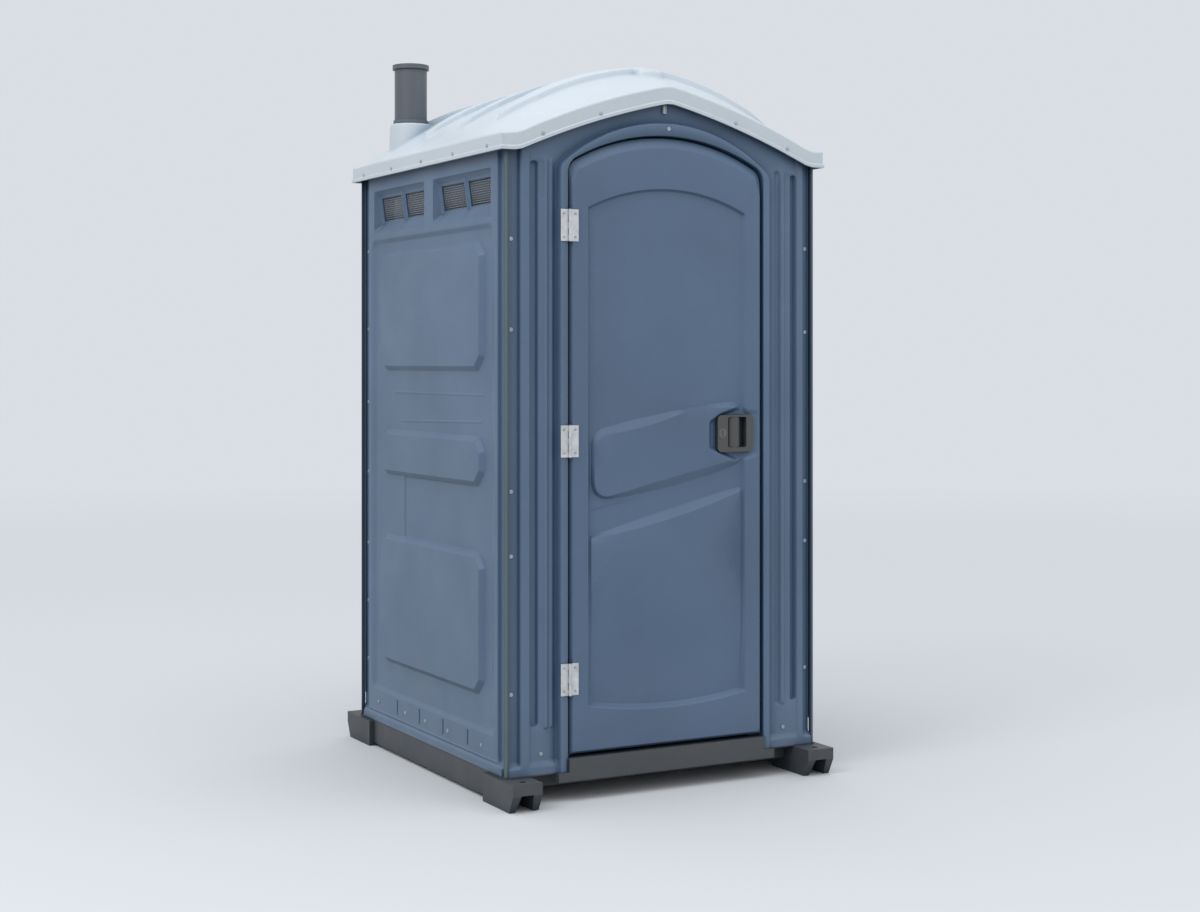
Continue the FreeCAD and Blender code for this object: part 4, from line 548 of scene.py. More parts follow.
def eased(share, soft):
    """Straight rise from 0 to 1 with both ends rounded."""
    rise = np.where(share < soft, (share + soft) ** 2 / (4 * soft), share)
    rise = np.where(share > 1 - soft, 1 - (1 + soft - share) ** 2 / (4 * soft), rise)
    return np.where(share <= -soft, 0.0, np.where(share >= 1 + soft, 1.0, rise))


def depth_inside(points, loop):
    """Distance of each point from a closed outline, positive inside it."""
    corners = np.asarray(loop, float)
    nearest = np.full(len(points), np.inf)
    inside = np.zeros(len(points), bool)
    across, up = points[:, ACROSS], points[:, UP]
    for (ax, ay), (bx, by) in zip(corners, np.roll(corners, -1, axis=0)):
        px, py = across - ax, up - ay
        ex, ey = bx - ax, by - ay
        share = np.clip((px * ex + py * ey) / (ex * ex + ey * ey + TINY), 0, 1)
        nearest = np.minimum(nearest, (px - share * ex) ** 2 + (py - share * ey) ** 2)
        if ey != 0:
            inside ^= ((ay > up) != (by > up)) & (px < ex * py / ey)
    return np.where(inside, 1, -1) * np.sqrt(nearest)


def value_at(setting, points):
    """A setting that is one number or a function of place."""
    return setting(points) if callable(setting) else np.full(len(points), float(setting))


def step(loop, level, width, soft=0.3):
    """Area of a sheet that rises or sinks to a level over a bevel inside its outline."""
    return {"loop": loop, "level": level, "width": width, "soft": soft}


def height_at(points, base, steps):
    """Height of a sheet at places in its plane."""
    height = value_at(base, points)
    for area in steps:
        corners = np.asarray(area["loop"])
        low, high = corners.min(axis=0) - STEP_REACH, corners.max(axis=0) + STEP_REACH
        near = np.all((points > low) & (points < high), axis=1)
        local = points[near]
        share = depth_inside(local, area["loop"]) / value_at(area["width"], local)
        share = eased(share, area["soft"])
        before = height[near]
        height[near] = before + (value_at(area["level"], local) - before) * share
    return height


def spaced(loop, spacing):
    """Closed outline with extra points on its long edges."""
    result = []
    for start, end in zip(loop, loop[1:] + loop[:1]):
        count = max(1, math.ceil(math.dist(start, end) / spacing))
        for index in range(count):
            share = index / count
            result.append((start[0] + share * (end[0] - start[0]), start[1] + share * (end[1] - start[1])))
    return result


def inward_rows(area, spacing):
    """Rows of points along an area's bevel, each row a list of runs."""
    loop = np.array(spaced(area["loop"], spacing))
    ahead, behind = np.roll(loop, -1, axis=0), np.roll(loop, 1, axis=0)
    tangent = ahead - behind
    tangent /= np.linalg.norm(tangent, axis=1)[:, None] + TINY
    turn = np.sum(loop[:, 0] * ahead[:, 1] - ahead[:, 0] * loop[:, 1])
    normal = np.stack([-tangent[:, 1], tangent[:, 0]], axis=1) * np.sign(turn)
    width = value_at(area["width"], loop)
    soft = area["soft"]
    runs = []
    for share in (-soft, 0.0, soft, 0.5, 1 - soft, 1.0, 1 + soft):
        row = loop + normal * (width * share)[:, None]
        off = np.abs(depth_inside(row, area["loop"]) - width * share) > LOST_SHARE * width + LOST_SLACK
        run = []
        for point, lost in zip(list(row) + [row[0]], list(off) + [off[0]]):
            if lost:
                runs.append(run)
                run = []
            else:
                run.append(tuple(point))
        runs.append(run)
    return [run for run in runs if len(run) > 1]


def flat_mesh(outlines, runs, extra):
    """Triangles over the first outline less the others, with the runs as their edges."""
    places, edges = [], []
    for closed, points in [(True, loop) for loop in outlines] + [(False, run) for run in runs]:
        first = len(places)
        places.extend(points)
        edges.extend((first + i, first + i + 1) for i in range(len(points) - 1))
        if closed:
            edges.append((first + len(points) - 1, first))
    places.extend(extra)
    found = delaunay_2d_cdt([mathutils.Vector(p) for p in places], edges, [], 0, MERGE_DISTANCE)
    flat = np.array([tuple(p) for p in found[0]])
    triangles = np.array([tuple(t) for t in found[2]])
    middle = flat[triangles].mean(axis=1)
    keep = depth_inside(middle, outlines[0]) > 0
    for hole in outlines[1:]:
        keep &= depth_inside(middle, hole) < 0
    triangles = triangles[keep]
    first, second, third = (flat[triangles[:, i]] for i in range(3))
    area = np.cross(second - first, third - first)
    triangles[area < 0] = triangles[area < 0][:, ::-1]
    triangles = triangles[np.abs(area) > MERGE_DISTANCE ** 2]
    used = np.unique(triangles)
    renumber = np.full(len(flat), -1)
    renumber[used] = np.arange(len(used))
    return flat[used], renumber[triangles]


def rim_edges(triangles):
    """Edges that belong to one triangle only, in that triangle's direction."""
    seen = {}
    for a, b, c in triangles:
        for start, end in ((a, b), (b, c), (c, a)):
            seen[(start, end)] = True
    return [edge for edge in seen if (edge[1], edge[0]) not in seen]


def front_normals(flat, base, steps):
    """Unit normals of a sheet's front, and how steep it is at each point."""
    slope = []
    for axis in (ACROSS, UP):
        shift = np.zeros(2)
        shift[axis] = SLOPE_PROBE
        ahead = height_at(flat + shift, base, steps)
        behind = height_at(flat - shift, base, steps)
        slope.append((ahead - behind) / (2 * SLOPE_PROBE))
    normal = np.stack([-slope[0], -slope[1], np.ones(len(flat))], axis=1)
    steepness = np.linalg.norm(normal, axis=1)
    return normal / steepness[:, None], steepness


def relief_sheet(name, outlines, base, steps, frame_of, extra=(), runs=(), skirt=None, back_level=None):
    """Closed mesh of a moulded sheet; a skirt gives the points between its front rim and its back rim."""
    rows = [run for area in steps for run in inward_rows(area, POINT_SPACING)]
    loops = [spaced(loop, POINT_SPACING) for loop in outlines]
    flat, triangles = flat_mesh(loops, rows + list(runs), list(extra))
    height = height_at(flat, base, steps)
    normal, steepness = front_normals(flat, base, steps)
    back = height - SHEET * np.minimum(steepness, STEEPEST)
    if back_level:
        back = back_level(flat, back)
    count = len(flat)
    points = list(np.column_stack([flat, height])) + list(np.column_stack([flat, back]))
    faces = [tuple(t) for t in triangles] + [tuple(t + count)[::-1] for t in triangles]
    normals = [normal[i] for t in triangles for i in t] + [-normal[i] for t in triangles for i in t[::-1]]
    add_rim(triangles, flat, skirt, points, faces, normals)
    return mesh_piece(name, points, faces, normals, frame_of)


def add_rim(triangles, flat, skirt, points, faces, normals):
    """Faces between a sheet's front rim and its back rim."""
    count = len(flat)
    rim = rim_edges([tuple(t) for t in triangles])
    columns = {}
    for corner in {corner for edge in rim for corner in edge}:
        column = [corner]
        if skirt:
            for place in skirt(flat[corner]):
                column.append(len(points))
                points.append(np.array(place))
        columns[corner] = column + [corner + count]
    for start, end in rim:
        for row in range(len(columns[start]) - 1):
            face = (columns[end][row], columns[start][row], columns[start][row + 1], columns[end][row + 1])
            faces.append(face)
            a, b, c, d = (np.asarray(points[i]) for i in face)
            flat_normal = np.cross(c - a, d - b)
            normals.extend([flat_normal / (np.linalg.norm(flat_normal) + TINY)] * len(face))


def mesh_piece(name, points, faces, normals, frame_of):
    """Object from points, faces and corner normals given in a sheet's own frame."""
    across, up, out, origin = (np.array(v, float) for v in frame_of)
    turn = np.stack([across, up, out])
    placed = (np.asarray(points) @ turn + origin) * MM
    mesh = bpy.data.meshes.new(name)
    mesh.from_pydata([tuple(p) for p in placed], [], [tuple(int(i) for i in f) for f in faces])
    mesh.update()
    mesh.shade_smooth()
    if normals is not None:
        mesh.normals_split_custom_set([tuple(n) for n in np.asarray(normals) @ turn])
    piece = bpy.data.objects.new(name, mesh)
    bpy.context.scene.collection.objects.link(piece)
    return piece


def install(piece, body, slot_name, *nodes):
    """Put a piece on its body, in the place of the solids that it replaces."""
    piece.data.materials.append(MATERIAL_OF_SLOT[slot_name])
    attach(piece, body)
    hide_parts(*nodes)


# Outlines

def block(u0, v0, u1, v1):
    """Rectangle as an outline."""
    return [(u0, v0), (u1, v0), (u1, v1), (u0, v1)]


def octagon(u0, v0, u1, v1, cut):
    """Rectangle with cut corners."""
    return [
        (u0 + cut, v0), (u1 - cut, v0), (u1, v0 + cut), (u1, v1 - cut), (u1 - cut, v1), (u0 + cut, v1),
        (u0, v1 - cut), (u0, v0 + cut),
    ]


def circle(centre, radius):
    """Round outline."""
    angles = [2 * math.pi * i / CIRCLE_POINTS for i in range(CIRCLE_POINTS)]
    return [(centre[0] + radius * math.cos(a), centre[1] + radius * math.sin(a)) for a in angles]


def rounded(corners, radius):
    """Outline with its corners rounded."""
    result = []
    count = len(corners)
    for index, corner in enumerate(corners):
        here = np.array(corner, float)
        before = np.array(corners[index - 1], float)
        after = np.array(corners[(index + 1) % count], float)
        back = (before - here) / np.linalg.norm(before - here)
        ahead = (after - here) / np.linalg.norm(after - here)
        half_angle = math.acos(np.clip(np.dot(back, ahead), -1, 1)) / 2
        if math.pi / 2 - half_angle < STRAIGHT_ANGLE:
            result.append(tuple(here))
            continue
        longest = min(np.linalg.norm(before - here), np.linalg.norm(after - here)) / 2
        reach = min(radius / math.tan(half_angle), longest)
        start, end = here + back * reach, here + ahead * reach
        for share in np.linspace(0, 1, ROUND_STEPS):
            weight = (1 - share) ** 2, 2 * share * (1 - share), share ** 2
            result.append(tuple(weight[0] * start + weight[1] * here + weight[2] * end))
    return result


def arc(a, b, c, count):
    """Points along the circle from a through b to c."""
    (ax, ay), (bx, by), (cx, cy) = a, b, c
    twice = 2 * (ax * (by - cy) + bx * (cy - ay) + cx * (ay - by))
    square_a, square_b, square_c = ax ** 2 + ay ** 2, bx ** 2 + by ** 2, cx ** 2 + cy ** 2
    ox = (square_a * (by - cy) + square_b * (cy - ay) + square_c * (ay - by)) / twice
    oy = (square_a * (cx - bx) + square_b * (ax - cx) + square_c * (bx - ax)) / twice
    radius = math.hypot(ax - ox, ay - oy)
    start = math.atan2(ay - oy, ax - ox)
    middle = (math.atan2(by - oy, bx - ox) - start) % (2 * math.pi)
    sweep = (math.atan2(cy - oy, cx - ox) - start) % (2 * math.pi)
    if middle > sweep:
        sweep -= 2 * math.pi
    angles = [start + sweep * i / count for i in range(count + 1)]
    return [(ox + radius * math.cos(angle), oy + radius * math.sin(angle)) for angle in angles]


def joined_arcs(arcs, count):
    """Closed outline made of arcs, one after the other."""
    return [point for ends in arcs for point in arc(*ends, count)]


def arched(half, bottom, shoulder, crown, corner):
    """Door outline: straight sides, rounded shoulders and an arched head."""
    run, drop = half - corner, shoulder - crown
    radius = (run ** 2 + drop ** 2 - corner ** 2) / (-2 * (drop + corner))
    centre = crown - radius
    tilt = math.atan2((shoulder - centre) / (radius - corner), run / (radius - corner))
    turns = [tilt * i / SHOULDER_POINTS for i in range(SHOULDER_POINTS + 1)]
    right = [(run + corner * math.cos(a), shoulder + corner * math.sin(a)) for a in turns]
    left = [(-u, v) for u, v in reversed(right)]
    turn = math.pi / 2 - tilt
    turns = [turn * i / HEAD_POINTS for i in range(HEAD_POINTS - 1, -HEAD_POINTS, -1)]
    head = [(radius * math.sin(a), centre + radius * math.cos(a)) for a in turns]
    return [(half, bottom)] + right + head + left + [(-half, bottom)]


def softened_table(points, half_window):
    """Heights at even steps along a line of points, with its corners rounded."""
    places = np.arange(-TABLE_END, TABLE_END + TABLE_STEP / 2, TABLE_STEP)
    line = np.array(sorted(points))
    heights = np.interp(np.abs(places), line[:, 0], line[:, 1])
    reach = int(half_window / TABLE_STEP)
    window = np.hanning(2 * reach + 3)[1:-1]
    padded = np.concatenate([[heights[0]] * reach, heights, [heights[-1]] * reach])
    smooth = np.convolve(padded, window / window.sum(), "valid")
    return places[places >= 0], smooth[places >= 0]


GABLE_X, GABLE_Z = softened_table(arc(*GABLE_ARC, TABLE_ARC_POINTS) + [GABLE_FAR], GABLE_SOFTNESS)
VAULT_X, VAULT_Z = softened_table(arc(*VAULT_ARC, TABLE_ARC_POINTS) + [VAULT_FAR], VAULT_SOFTNESS)


def gable(x):
    """Height of the roof's lower edge over places across the cabin."""
    return np.interp(np.abs(x), GABLE_X, GABLE_Z)


def gable_line(lift, half, count=GABLE_POINTS):
    """Points along the gable, from one side to the other."""
    return [(float(u), float(gable(u)) + lift) for u in np.linspace(half, -half, count)]


def gable_outline():
    """Outline of a sheet that runs up into the gable, behind the roof's fascia."""
    foot = [(-FRAME_END, WALL_BOTTOM), (FRAME_END, WALL_BOTTOM)]
    return foot + gable_line(GABLE_OVERLAP, FRAME_END)


# Widths and levels that change over a sheet

def smooth_share(share):
    """Share between 0 and 1 with soft ends."""
    return share * share * (3 - 2 * share)


def along(axis, places, values):
    """Setting that follows a table across or up a sheet."""
    def setting(points):
        return np.interp(points[:, axis], places, values)
    return setting


def edge_widths(area, on_sides, on_ends):
    """Bevel width of a rectangle: one value on its sides, another on its foot and head."""
    low, half, high = area[1:]

    def width(points):
        side = np.abs(half - np.abs(points[:, ACROSS])) + 1.0
        end = np.minimum(np.abs(points[:, UP] - low), np.abs(high - points[:, UP])) + 1.0
        return on_sides + (on_ends - on_sides) * smooth_share(side / (side + end))
    return width


def swollen(places, width, swells):
    """Width with bumps that fade to nothing at a distance from their places."""
    for centre, reach, extra in swells:
        width = width + extra * np.clip(1 - ((places - centre) / reach) ** 2, 0, 1)
    return width


# Walls

def wall_steps():
    """Relief shared by the side and rear walls."""
    flange_width = edge_widths(FLANGE, on_sides=1.5, on_ends=16)
    field_width = edge_widths(FIELD, on_sides=30, on_ends=14)
    steps = [
        step(block(-CHANNEL_END, BORDER_FOOT, CHANNEL_END, BEYOND_TOP), LEVEL_BORDER, width=4, soft=0.2),
        step(block(*FLANGE), 0, flange_width),
        step(rounded(block(*FIELD), radius=34), LEVEL_FIELD, field_width, soft=0.2),
        step(rounded(block(*SUNK_PANEL), radius=10), LEVEL_FIELD - SUNK_DEPTH, width=5),
    ]
    for crease in CREASES:
        steps.append(step(rounded(crease, radius=4), LEVEL_FIELD + CREASE_RISE, width=3.5))
    for low, high in PAD_HEIGHTS:
        pad = octagon(-PAD_END, low, PAD_END, high, PAD_CUT)
        steps.append(step(rounded(pad, radius=16), LEVEL_PAD, width=16, soft=0.1))
    low, high = GROOVE_HEIGHTS
    for centre in GROOVE_PLACES:
        groove = block(centre - GROOVE_HALF, low, centre + GROOVE_HALF, high)
        steps.append(step(rounded(groove, radius=5), LEVEL_BORDER - GROOVE_DEPTH, width=3.5))
    return steps


def vent_ends(side):
    """Ends of one vent window's mouth."""
    return sorted((side * VENT_NEAR, side * VENT_FAR))


def vent_mouth(side):
    """Outline of one vent window's mouth."""
    u0, u1 = vent_ends(side)
    return block(u0, VENT_BOTTOM, u1, VENT_TOP)


def vent_level(side, rise=0.0):
    """Sloping sides, sill, head and inclined floor of a vent window, or a rise over them."""
    u0, u1 = vent_ends(side)

    def level(points):
        u, v = points[:, ACROSS], points[:, UP]
        share = (v - VENT_FLOOR_LOW) / (VENT_FLOOR_HIGH - VENT_FLOOR_LOW)
        planes = np.stack([
            -(VENT_DEEP + share * (VENT_SHALLOW - VENT_DEEP)),
            -(u - u0) / VENT_SIDE_SLOPE, -(u1 - u) / VENT_SIDE_SLOPE,
            -(v - VENT_BOTTOM) * VENT_DEEP / (VENT_FLOOR_LOW - VENT_BOTTOM),
            -(VENT_TOP - v) * VENT_SHALLOW / (VENT_TOP - VENT_FLOOR_HIGH),
        ])
        softened = VENT_EDGE * np.log(np.exp(planes / VENT_EDGE).sum(axis=0))
        return LEVEL_BORDER + np.minimum(softened, 0.0) + rise
    return level


def vent_runs(side):
    """Lines of points round a vent window's floor and down its corners."""
    u0, u1 = vent_ends(side)
    low_inset, high_inset = VENT_FLOOR_INSETS
    floor = [
        (u0 + low_inset, VENT_FLOOR_LOW), (u1 - low_inset, VENT_FLOOR_LOW),
        (u1 - high_inset, VENT_FLOOR_HIGH), (u0 + high_inset, VENT_FLOOR_HIGH),
    ]
    centre = np.array([(u0 + u1) / 2, (VENT_FLOOR_LOW + VENT_FLOOR_HIGH) / 2])
    runs = []
    for grow in VENT_RINGS:
        ring = [tuple(centre + (np.array(p) - centre) * grow) for p in floor]
        runs.append(spaced(ring, VENT_RING_SPACING) + [ring[0]])
    for corner, foot in zip(vent_mouth(side), floor):
        start, way = np.array(corner), np.array(foot) - np.array(corner)
        runs.append([tuple(start + way * share) for share in np.linspace(*VENT_CORNER_RUN)])
    return runs


def vent_panes(side):
    """Two openings of a vent window, each side of its bar."""
    u0, u1 = vent_ends(side)
    u0, u1 = u0 + PANE_SIDE_MARGIN, u1 - PANE_SIDE_MARGIN
    middle = (u0 + u1) / 2
    low, high = VENT_FLOOR_LOW + PANE_END_MARGIN, VENT_FLOOR_HIGH - PANE_END_MARGIN
    return [(u0, low, middle - VENT_BAR / 2, high), (middle + VENT_BAR / 2, low, u1, high)]


def vent_bar(side):
    """Rib along the bar between the two panes."""
    near, far = vent_panes(side)
    below, above = VENT_BAR_OVER
    u0, u1 = near[2] + VENT_BAR_LAP, far[0] - VENT_BAR_LAP
    bar = rounded(block(u0, VENT_FLOOR_LOW - below, u1, VENT_FLOOR_HIGH + above), radius=9)
    return step(bar, vent_level(side, VENT_BAR_RISE), width=9, soft=0.35)


def side_wall(name, frame_of):
    """Side wall with its two vent windows."""
    steps = wall_steps()
    outlines = [block(-WALL_END, WALL_BOTTOM, WALL_END, WALL_TOP)]
    runs = []
    for side in (-1, 1):
        steps += [step(vent_mouth(side), vent_level(side), width=2.0), vent_bar(side)]
        outlines += [rounded(block(*pane), PANE_CORNER) for pane in vent_panes(side)]
        runs += vent_runs(side)
    rail_width = edge_widths(SIDE_RAIL, on_sides=1.5, on_ends=4)
    steps.append(step(block(*SIDE_RAIL), SIDE_RAIL_LEVEL, rail_width))
    piece = relief_sheet(name + "_panel", outlines, LEVEL_CHANNEL, steps, frame_of, runs=runs)
    install(piece, "cabin", "blue_grey_plastic", name)


def gable_rail():
    """Rail along a gable wall's top edge."""
    line = gable_line(GABLE_RAIL_LIFT, BEYOND_SIDE, GABLE_RAIL_POINTS)
    corners = [(-BEYOND_SIDE, BEYOND_TOP), (BEYOND_SIDE, BEYOND_TOP)]
    return step(line + corners, GABLE_RAIL_LEVEL, width=4)


def rear_wall():
    """Rear wall, carried up into the gable."""
    steps = wall_steps() + [gable_rail()]
    piece = relief_sheet("rear_wall_panel", [gable_outline()], LEVEL_CHANNEL, steps, REAR)
    install(piece, "cabin", "blue_grey_plastic", "rear_wall")


# Front frame

def jamb_steps(side, ridge, flute, rib_near, rib_far, ridge_foot):
    """Corner channel, flange, rib, ridge and flute of one jamb."""
    def strip(near, low, far, high):
        u0, u1 = sorted((side * near, side * far))
        return block(u0, low, u1, high)

    ridge_low, ridge_high = RIDGE_HEIGHTS
    fall = strip(ridge - RIDGE_WIDTH, ridge_low, ridge + RIDGE_LAP, ridge_high)
    crest = strip(ridge, ridge_low, ridge + RIDGE_WIDTH, ridge_high)
    dish_low, dish_high = DISH_HEIGHTS
    dish = strip(ridge + DISH_START, dish_low, rib_near + RIDGE_LAP, dish_high)
    flute_low, flute_high = FLUTE_HEIGHTS
    groove = strip(flute, flute_low, rib_near + FLUTE_LAP, flute_high)
    return [
        step(strip(rib_far, 0, BEYOND_SIDE, BEYOND_TOP), LEVEL_CHANNEL, width=5, soft=0.2),
        step(strip(JAMB_FLANGE_START, 0, BEYOND_SIDE, FLANGE_TOP), 0, width=16, soft=0.2),
        step(strip(rib_near, 0, rib_far, BEYOND_TOP), 0, width=5, soft=0.4),
        step(rounded(fall, radius=10), ridge_foot, width=8, soft=0.4),
        step(rounded(crest, radius=9), 0.0, width=6, soft=0.4),
        step(rounded(dish, radius=20), DISH_LEVEL, along(UP, *DISH_WIDTHS)),
        step(rounded(groove, radius=12), FLUTE_LEVEL, width=6),
    ]


def front_frame():
    """Front moulding: ribbed jambs, arched bead, stop round the doorway and gable head."""
    steps = [area for profile in JAMB_PROFILES for area in jamb_steps(*profile)]
    steps += [
        step(arched(*BEAD), BEAD_LEVEL, width=6, soft=0.35),
        step(arched(*OPENING), OPENING_LEVEL, width=2.5),
        gable_rail(),
    ]
    bead = arched(BEAD[0], BEAD_FAR_FOOT, *BEAD[2:])

    def base(points):
        away = np.clip(-depth_inside(points, bead) / HEAD_REACH, 0, 1)
        return HEAD_LEVEL + HEAD_RISE * away * (1 + HEAD_EASE - HEAD_EASE * away)

    doorway = [
        (-OPENING_HALF, SILL_TOP), (-OPENING_HALF, DOORWAY_BOTTOM), (OPENING_HALF, DOORWAY_BOTTOM),
        (OPENING_HALF, SILL_TOP), *arched(*STOP),
    ]
    piece = relief_sheet("front_frame_panel", [gable_outline(), doorway], base, steps, FRONT)
    install(piece, "cabin", "blue_grey_plastic", "front_frame")


# Door

def over_head(values):
    """Setting of the door's edge: a first value, and what it gains over the arched head."""
    first, gain = values

    def setting(points):
        share = np.clip((points[:, UP] - DOOR_HEAD_START) / DOOR_HEAD_LENGTH, 0, 1)
        return first + gain * smooth_share(share)
    return setting


def band_width(points):
    """Bevel of the raised band, wider where the moulding swells."""
    u, v = points[:, ACROSS], points[:, UP]
    head = swollen(u, BAND_HEAD_WIDTH, BAND_HEAD_SWELLS)
    foot = swollen(u, BAND_FOOT_WIDTH, BAND_FOOT_SWELLS)
    share = np.clip((v - (BAND_MIDDLE + BAND_TILT * u)) / BAND_BLEND + 0.5, 0, 1)
    return foot + (head - foot) * share


def lower_width(points):
    """Bevel of the lower area, wide along the middle of its head."""
    head = swollen(points[:, ACROSS], LOWER_HEAD_WIDTH, LOWER_HEAD_SWELLS)
    start, length = LOWER_BLEND
    share = np.clip((points[:, UP] - start) / length, 0, 1)
    return LOWER_SIDE_WIDTH + (head - LOWER_SIDE_WIDTH) * share


def tail_width(points):
    """Bevel of the soft fall at the band's hinge end."""
    return np.interp(points[:, UP] - TAIL_TILT * points[:, ACROSS], *TAIL_WIDTHS)


def door_steps(edge):
    """Relief of the door: bevelled edge, recess, lower area, raised band and latch pocket."""
    recess = rounded(joined_arcs(RECESS_ARCS, DOOR_ARC_POINTS), radius=10)
    lower = rounded(joined_arcs(LOWER_ARCS, DOOR_ARC_POINTS), radius=12)
    band = rounded(joined_arcs(BAND_ARCS, BAND_ARC_POINTS), radius=60)
    return [
        step(edge, 0, over_head(DOOR_EDGE_WIDTH), soft=0.08),
        step(recess, along(UP, *RECESS_LEVELS), along(UP, *RECESS_WIDTHS), soft=0.15),
        step(lower, along(UP, *LOWER_LEVELS), lower_width, soft=0.08),
        step(TAIL, TAIL_LEVEL, tail_width, soft=0.2),
        step(band, 0.0, band_width, soft=0.08),
        step(rounded(POCKET, radius=18), along(ACROSS, *POCKET_LEVELS), width=13, soft=0.18),
    ]


def door_skin():
    """Outer skin of the door, turned back round its edge, with the hole for the latch."""
    edge = arched(*DOOR_EDGE)
    half, foot, shoulder, crown, corner = DOOR_EDGE
    runs = []
    for inset in EDGE_INSETS:
        ring = arched(half - inset, foot + inset, shoulder, crown - inset, corner - inset)
        runs.append(ring + [ring[0]])

    def back_level(points, back):
        return np.where(depth_inside(points, edge) < EDGE_THICKNESS, DOOR_SKIN_DEPTH, back)

    outlines = [edge, rounded(block(*HOUSING_HOLE), radius=14)]
    piece = relief_sheet("door_skin_panel", outlines, over_head(DOOR_BASE), door_steps(edge), DOOR_PLANE,
                         runs=runs, back_level=back_level)
    install(piece, "door", "door_plastic", "door_outer_skin")


# Roof

def rim_distance(points):
    """Distance from the roof's outer edge."""
    return np.minimum(ROOF_X - np.abs(points[:, ACROSS]), ROOF_Y - np.abs(points[:, UP]))


def edge_round(points):
    """Fall of the roof's surface over its rounded rim."""
    inner = np.clip(RIM_RADIUS - np.clip(rim_distance(points), 0, RIM_RADIUS), 0, RIM_RADIUS)
    return RIM_RADIUS - np.sqrt(RIM_RADIUS ** 2 - inner ** 2)


def roof_surface(points):
    """Hipped vault over the fascia line."""
    u, v = np.abs(points[:, ACROSS]), np.abs(points[:, UP])
    rim = gable(u) + FASCIA
    crest = np.interp(u, VAULT_X, VAULT_Z)
    rise = eased((ROOF_Y - v) / (ROOF_Y - ROOF_LEVEL_END), ROOF_HIP_SOFTNESS)
    return rim + np.maximum(crest - rim, 0) * rise - edge_round(points)


def rib_surface(points):
    """Top of the ribs and the spine."""
    return roof_surface(points) + RIB_HEIGHT


def roof_skirt(place):
    """Fascia below the rim with its turned-out lip; the pipe's hole has none."""
    u, v = place
    if math.hypot(u - PIPE_PLACE[0], v - PIPE_PLACE[1]) < PIPE_CLEARANCE:
        return []
    out_u = math.copysign(1, u) if abs(u) > ROOF_X - RIM_TOUCH else 0
    out_v = math.copysign(1, v) if abs(v) > ROOF_Y - RIM_TOUCH else 0
    foot = float(gable(u))
    return [(u + out_u * reach, v + out_v * reach, foot + lift) for reach, lift in LIP_ROWS]


def roof_back(points, back):
    """Back of the roof's sheet, brought down to the fascia's foot at the rim."""
    return np.where(rim_distance(points) < EDGE_THICKNESS, gable(points[:, ACROSS]), back)


def roof():
    """Roof moulding with its ribs, spine and pipe boss."""
    steps = []
    for place in RIB_PLACES:
        rib = [(u, place + v) for u, v in RIB_OUTLINE]
        steps.append(step(rounded(rib, radius=40), rib_surface, width=5.5, soft=0.25))
    steps.append(step(rounded(block(*SPINE), radius=30), rib_surface, width=8))
    steps.append(step(circle(PIPE_PLACE, BOSS_RADIUS), BOSS_TOP, width=3))
    runs = []
    for inset in RIM_INSETS:
        inner = block(-ROOF_X + inset, -ROOF_Y + inset, ROOF_X - inset, ROOF_Y - inset)
        runs.append(spaced(inner, POINT_SPACING) + [inner[0]])
    across, up = (np.linspace(*ends) for ends in ROOF_GRID)
    grid = [(float(u), float(v)) for u in across for v in up]
    outlines = [block(-ROOF_X, -ROOF_Y, ROOF_X, ROOF_Y), circle(PIPE_PLACE, PIPE_HOLE_RADIUS)]
    piece = relief_sheet("roof_panel", outlines, roof_surface, steps, ROOF_PLANE, extra=grid, runs=runs,
                         skirt=roof_skirt, back_level=roof_back)
    install(piece, "cabin", "roof_plastic", "roof")


# Vent screens

def screen_level(v):
    """Level of a screen behind the inclined floor of its window."""
    share = (v - VENT_FLOOR_LOW) / (VENT_FLOOR_HIGH - VENT_FLOOR_LOW)
    return LEVEL_BORDER - SHEET - SCREEN_GAP - VENT_DEEP + share * (VENT_DEEP - VENT_SHALLOW)


def add_wire(points, faces, start, end, lift):
    """Straight wire with four sides, closed at both ends."""
    way = np.array([end[0] - start[0], end[1] - start[1]])
    cross = np.array([-way[1], way[0]]) / np.linalg.norm(way) * WIRE / 2
    first = len(points)
    for u, v in (start, end):
        centre = np.array([u, v, screen_level(v) + lift])
        for shift in ((*cross, 0), (0, 0, WIRE / 2), (*-cross, 0), (0, 0, -WIRE / 2)):
            points.append(centre + shift)
    for k in range(4):
        following = (k + 1) % 4
        faces.append((first + k, first + following, first + 4 + following, first + 4 + k))
    faces.append((first + 3, first + 2, first + 1, first))
    faces.append((first + 4, first + 5, first + 6, first + 7))


def wire_screen(frame_of, pane):
    """Crossed wires behind one pane of a vent window."""
    side_over, end_over = SCREEN_OVER
    u0, v0, u1, v1 = pane
    u0, u1, v0, v1 = u0 - side_over, u1 + side_over, v0 - end_over, v1 + end_over
    points, faces = [], []
    for u in np.arange(u0, u1, MESH_PITCH * UPRIGHT_PITCH):
        add_wire(points, faces, (u, v0), (u, v1), 0.0)
    for v in np.arange(v0, v1, MESH_PITCH):
        add_wire(points, faces, (u0, v), (u1, v), WIRE * CROSSING_LIFT)
    return mesh_piece("wires", points, faces, None, frame_of)


def vent_screens():
    """The wire screens of both side walls."""
    for wall, frame_of in (("left", LEFT), ("right", RIGHT)):
        for side, letter in ((-1, "a"), (1, "b")):
            halves = [wire_screen(frame_of, pane) for pane in vent_panes(side)]
            with bpy.context.temp_override(active_object=halves[0], selected_editable_objects=halves):
                bpy.ops.object.join()
            name = "vent_screen_" + wall + "_" + letter
            halves[0].name = name + "_wires"
            install(halves[0], "cabin", "screen_mesh", name)


# Solids that show as they are

